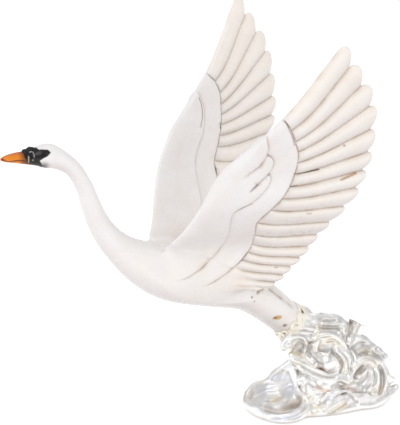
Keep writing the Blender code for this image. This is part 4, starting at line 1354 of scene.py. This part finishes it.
def stroked(seen, places, width):
    """Give which pictured places are near a line, and how far each of them is from it and along it."""
    line = curved(places, LINE_JOINS)
    reach = 3 * width
    close = np.all((seen > line.min(axis=0) - reach) & (seen < line.max(axis=0) + reach), axis=1)
    away, share, _ = line_distance(seen[close], line)
    return close, away, share


def draw_relief(points, normals, seen):
    """Add the ridges, grooves, wrinkles and ripples of the splash to its points.

    Returns the new points, and how deep in a groove each of them is, from 0 to 1.
    """
    rise = np.zeros(len(points))
    for height, width, places in STROKES:
        width *= STROKE_SPREAD
        close, away, share = stroked(seen, places, width)
        fade = smooth_step(share / STROKE_FADE) * smooth_step((1 - share) / STROKE_FADE)
        rise[close] += STROKE_SCALE * height * bell(away, width) * fade
    rise *= smooth_step(normals @ camera_axes()[2] / STROKE_FACING)
    groove = np.clip(-rise / STROKE_SCALE, 0, 1)
    for height, spacing, seed in RIPPLES:
        warp = np.stack([uneven(points, 1.6 * spacing, seed + 10 * axis) for axis in range(3)], axis=1)
        folds = np.abs(2 * uneven(points + RIPPLE_WARP * spacing * warp, spacing, seed) - 1)
        rise += height * (RIPPLE_LEVEL - np.minimum(folds * RIPPLE_STEEPNESS, 1))
    rise *= ramp(points[:, 2], RELIEF_FOOT, RELIEF_RISE)
    return points + normals * rise[:, None], groove


def recess_share(field, points, normals):
    """Tell how deep in a recess each place is, from 0 to 1, by how near the splash is in front of it."""
    total = np.zeros(len(points))
    for reach, weight in RECESS_TRIES:
        free = field.at(points + normals * reach) / reach
        total += weight * np.clip(1 - free, 0, 1)
    return total


def paint_splash(splash, recess, groove, seen):
    """Work out the splash's colours, and how much of each is silver."""
    points, normals = points_of(splash.data) / STEP, normals_of(splash.data)
    colour = np.tile(SILVER, (len(points), 1))
    blotches = uneven(points, 8, 8)
    # Painted shade in the recesses, and patina deeper in
    colour = mix(colour, PAINTED_RECESS_SHADE, ramp(recess, *SHADED_RECESS) * 0.45)
    colour = mix(colour, PATINA_AND_SHADOW, ramp(recess, *DEEP_RECESS) * (0.1 + 0.7 * blotches))
    colour = mix(colour, OCHRE, ramp(uneven(points, 13, 9), *OCHRE_CLOUDS) * 0.22)
    # Painted shade in the grooves and along the foot
    colour = mix(colour, PAINTED_SHADE_GREY, groove * 0.42)
    colour = mix(colour, PAINTED_SHADE_GREY, ramp(points[:, 2], FOOT_SHADE, -FOOT_SHADE) * 0.7)
    # Stains, painted shade and painted reflections, on surfaces that face the camera
    facing = smooth_step(normals @ camera_axes()[2] / STAIN_AND_LIGHT_FACING)
    for tint, strength, width, places in SPLASH_STAINS_AND_PAINTED_LIGHT:
        close, away, _ = stroked(seen, places, width)
        strength = strength * facing[close] * (0.2 + 1.0 * blotches[close])
        colour[close] = mix(colour[close], tint, bell(away, width) * strength)
    crust = crust_share(points)
    ochre = ramp(uneven(points, 3, 11), *OCHRE_CRUMBS) * 0.45
    cream = mix(np.tile(FOAM_CREAM, (len(points), 1)), OCHRE, ochre)
    colour += (cream - colour) * crust[:, None]
    return colour, 1 - crust


def splash_field():
    """Work out the splash's form."""
    low, high = (np.array(corner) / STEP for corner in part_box("wave_base"))
    field = Field(np.floor(low) - GRID_MARGIN, high + (GRID_MARGIN, GRID_MARGIN, GRID_ROOM_ABOVE))
    for lump in LUMPS:
        field.add(*field.lump(lump, LUMP_BLEND), LUMP_BLEND)
    for roll in ROLLS:
        field.roll(roll, ROLL_BLEND)
    for hollow in HOLLOWS:
        field.carve(*field.lump(hollow, HOLLOW_BLEND), HOLLOW_BLEND)
    for bead in BEADS:
        field.add(*field.lump(bead, BEAD_BLEND), BEAD_BLEND)
    add_cup(field)
    for lump in crust_lumps():
        field.add(*field.lump(lump, CRUST_BLEND), CRUST_BLEND)
    rings = np.array(SPINE[TAIL_FROM:], float)
    tail = np.stack((rings[:, 0], 0 * rings[:, 0], rings[:, 1],
                     rings[:, 2:].mean(axis=1) - TAIL_OVERLAP), axis=1)
    field.carve(*field.distance_to(tail, TAIL_MARGIN), TAIL_BLEND)
    whole, (_, _, height) = field.window(field.low, field.low + FAR_AWAY)
    field.value[whole] = np.maximum(field.value[whole], -height)
    return field


def build_splash():
    """Make the silvered splash."""
    field = splash_field()
    splash = mesh_object("splash_figure", *skin_of(field))
    even = np.ones(len(splash.data.vertices))
    relax(splash.data, even, SKIN_ROUNDS)
    points, normals = points_of(splash.data) / STEP, normals_of(splash.data)
    recess, seen = recess_share(field, points, normals), pictured(points)
    points, groove = draw_relief(points, normals, seen)
    set_points(splash.data, points * STEP)
    relax(splash.data, even, RELIEF_ROUNDS)
    keep_paint(splash, *paint_splash(splash, recess, groove, seen))
    splash.data.shade_smooth()
    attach(splash, "root")
    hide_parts("wave_base")
    return splash


class Nodes:
    """A material's nodes, added and joined by name."""

    def __init__(self, name):
        self.material = bpy.data.materials.new(name)
        self.material.use_nodes = True
        self.tree = self.material.node_tree
        self.shader = self.tree.nodes["Principled BSDF"]

    def add(self, kind, **settings):
        """Add a node with its settings."""
        node = self.tree.nodes.new("ShaderNode" + kind)
        for name, value in settings.items():
            setattr(node, name, value)
        return node

    def join(self, output, socket):
        """Join an output to a socket."""
        self.tree.links.new(output, socket)

    def place(self):
        """Give the coordinates on the piece."""
        return self.add("TexCoord").outputs["Object"]

    def noise(self, scale, detail=3, roughness=0.5, distortion=0.0):
        """Give noise on the piece; scale is its spacing in steps."""
        node = self.add("TexNoise")
        node.inputs["Scale"].default_value = 1 / (scale * STEP)
        node.inputs["Detail"].default_value = detail
        node.inputs["Roughness"].default_value = roughness
        node.inputs["Distortion"].default_value = distortion
        self.join(self.place(), node.inputs["Vector"])
        return node.outputs["Fac"]

    def range(self, value, low, high, to_low, to_high):
        """Map a value from one range to another, kept inside it."""
        node = self.add("MapRange")
        for index, number in enumerate((low, high, to_low, to_high)):
            node.inputs[index + 1].default_value = number
        self.join(value, node.inputs[0])
        return node.outputs[0]

    def mix(self, share, one, other, blend="MIX"):
        """Mix two colours, each an output or a colour; share is an output or a number."""
        node = self.add("Mix", data_type="RGBA", blend_type=blend)
        for value, socket in ((share, node.inputs[0]), (one, node.inputs[6]), (other, node.inputs[7])):
            if isinstance(value, bpy.types.NodeSocket):
                self.join(value, socket)
            elif isinstance(value, (int, float)):
                socket.default_value = value
            else:
                socket.default_value = (*value, 1)
        return node.outputs[2]

    def bump(self, height, strength, distance):
        """Raise the surface's shading by a height; distance is in steps."""
        node = self.add("Bump")
        node.inputs["Strength"].default_value = strength
        node.inputs["Distance"].default_value = distance * STEP
        self.join(height, node.inputs["Height"])
        self.join(node.outputs["Normal"], self.shader.inputs["Normal"])


def resin_material():
    """The swan's paint over its casting: glossy, a little uneven, with a few specks."""
    nodes = Nodes("white_resin")
    paint = nodes.add("VertexColor", layer_name="paint").outputs["Color"]
    clouds = nodes.range(nodes.noise(26, 3), 0.35, 0.7, 0.0, 1.0)
    colour = nodes.mix(0.35, paint, nodes.mix(clouds, (1, 1, 1), tone(246, 240, 232)), "MULTIPLY")
    specks = nodes.range(nodes.noise(1.6, 1), 0.79, 0.83, 0.0, 0.35)
    colour = nodes.mix(specks, colour, tone(150, 130, 110))
    nodes.join(colour, nodes.shader.inputs["Base Color"])
    nodes.join(nodes.range(nodes.noise(12, 5), 0.3, 0.7, 0.22, 0.34), nodes.shader.inputs["Roughness"])
    nodes.shader.inputs["Coat Weight"].default_value = 0.15
    nodes.shader.inputs["Specular IOR Level"].default_value = 0.35
    nodes.shader.inputs["Coat Roughness"].default_value = 0.12
    nodes.bump(nodes.noise(6, 3), 0.2, 0.3)
    return nodes.material


def silver_material():
    """The splash's silver leaf, crinkled and stained, and the bare crust at the tail."""
    nodes = Nodes("silver_leaf")
    paint = nodes.add("VertexColor", layer_name="paint")
    crinkles = nodes.noise(3.5, 3, 0.5, 1.2)
    worn = nodes.range(crinkles, 0.4, 0.65, 0.0, 0.15)
    leaf = nodes.mix(worn, paint.outputs["Color"], tone(214, 206, 198), "MULTIPLY")
    nodes.join(leaf, nodes.shader.inputs["Base Color"])
    nodes.join(nodes.range(paint.outputs["Alpha"], 0, 1, 0.0, 0.88), nodes.shader.inputs["Metallic"])
    nodes.join(nodes.range(nodes.noise(7, 3, 0.5), 0.35, 0.65, 0.28, 0.42), nodes.shader.inputs["Roughness"])
    nodes.bump(crinkles, 0.1, 0.25)
    return nodes.material


def add_camera():
    """Set the camera where the photograph was taken from."""
    back = Vector(camera_axes()[2])
    data = bpy.data.cameras.new("camera")
    data.sensor_width = SENSOR
    data.lens = SENSOR * CAMERA_DISTANCE / PICTURE_SIZE[1]
    camera = add_object("camera", data)
    camera.location = (Vector(CAMERA_TARGET) + back * CAMERA_DISTANCE) * STEP
    camera.rotation_euler = back.to_track_quat("Z", "Y").to_euler()
    bpy.context.scene.camera = camera


# The studio: the floor's size in metres, its tone, roughness and glow, and the light from all round
FLOOR_SIZE = 8
FLOOR_TONE, FLOOR_ROUGHNESS, FLOOR_GLOW = (0.97, 0.97, 0.97, 1), 0.7, 0.36
ROOM_TONE, ROOM_STRENGTH = (0.95, 0.96, 1.0, 1), 0.61
# The lights: each one's place and size in metres, power and colour
LIGHTS = [
    ("key", (-1.5, -1.8, 2.1), 1.8, 24, (1.0, 0.99, 0.98)),
    ("fill", (1.5, -1.5, 1.0), 1.4, 3, (1.0, 0.97, 0.94)),
    ("top", (0.4, 0.4, 2.4), 2.4, 13, (1.0, 1.0, 1.0)),
    ("side", (-2.0, 0.9, 0.8), 1.2, 6, (0.9, 0.9, 1.0))]


def add_light(name, place, size, power, colour):
    """Add a soft square light that looks at the swan."""
    data = bpy.data.lights.new(name, "AREA")
    data.size = size
    data.energy = power
    data.color = colour
    light = add_object(name, data)
    light.location = place
    aim = Vector(place) - Vector(CAMERA_TARGET) * STEP
    light.rotation_euler = aim.to_track_quat("Z", "Y").to_euler()


def add_studio():
    """Lay the pale floor and set the soft lights."""
    mesh = bpy.data.meshes.new("floor")
    work = bmesh.new()
    bmesh.ops.create_grid(work, x_segments=1, y_segments=1, size=FLOOR_SIZE)
    work.to_mesh(mesh)
    work.free()
    nodes = Nodes("floor")
    nodes.shader.inputs["Base Color"].default_value = FLOOR_TONE
    nodes.shader.inputs["Roughness"].default_value = FLOOR_ROUGHNESS
    nodes.shader.inputs["Emission Color"].default_value = (1, 1, 1, 1)
    nodes.shader.inputs["Emission Strength"].default_value = FLOOR_GLOW
    mesh.materials.append(nodes.material)
    add_object("floor", mesh)
    world = bpy.data.worlds.new("studio")
    world.use_nodes = True
    background = world.node_tree.nodes["Background"]
    background.inputs["Color"].default_value = ROOM_TONE
    background.inputs["Strength"].default_value = ROOM_STRENGTH
    bpy.context.scene.world = world
    bpy.context.scene.view_settings.view_transform = "Standard"
    for light in LIGHTS:
        add_light(*light)


def main():
    """Dress the figurine."""
    swan = build_swan()
    swan.data.materials.clear()
    swan.data.materials.append(resin_material())
    splash = build_splash()
    splash.data.materials.append(silver_material())
    add_camera()
    add_studio()


main()
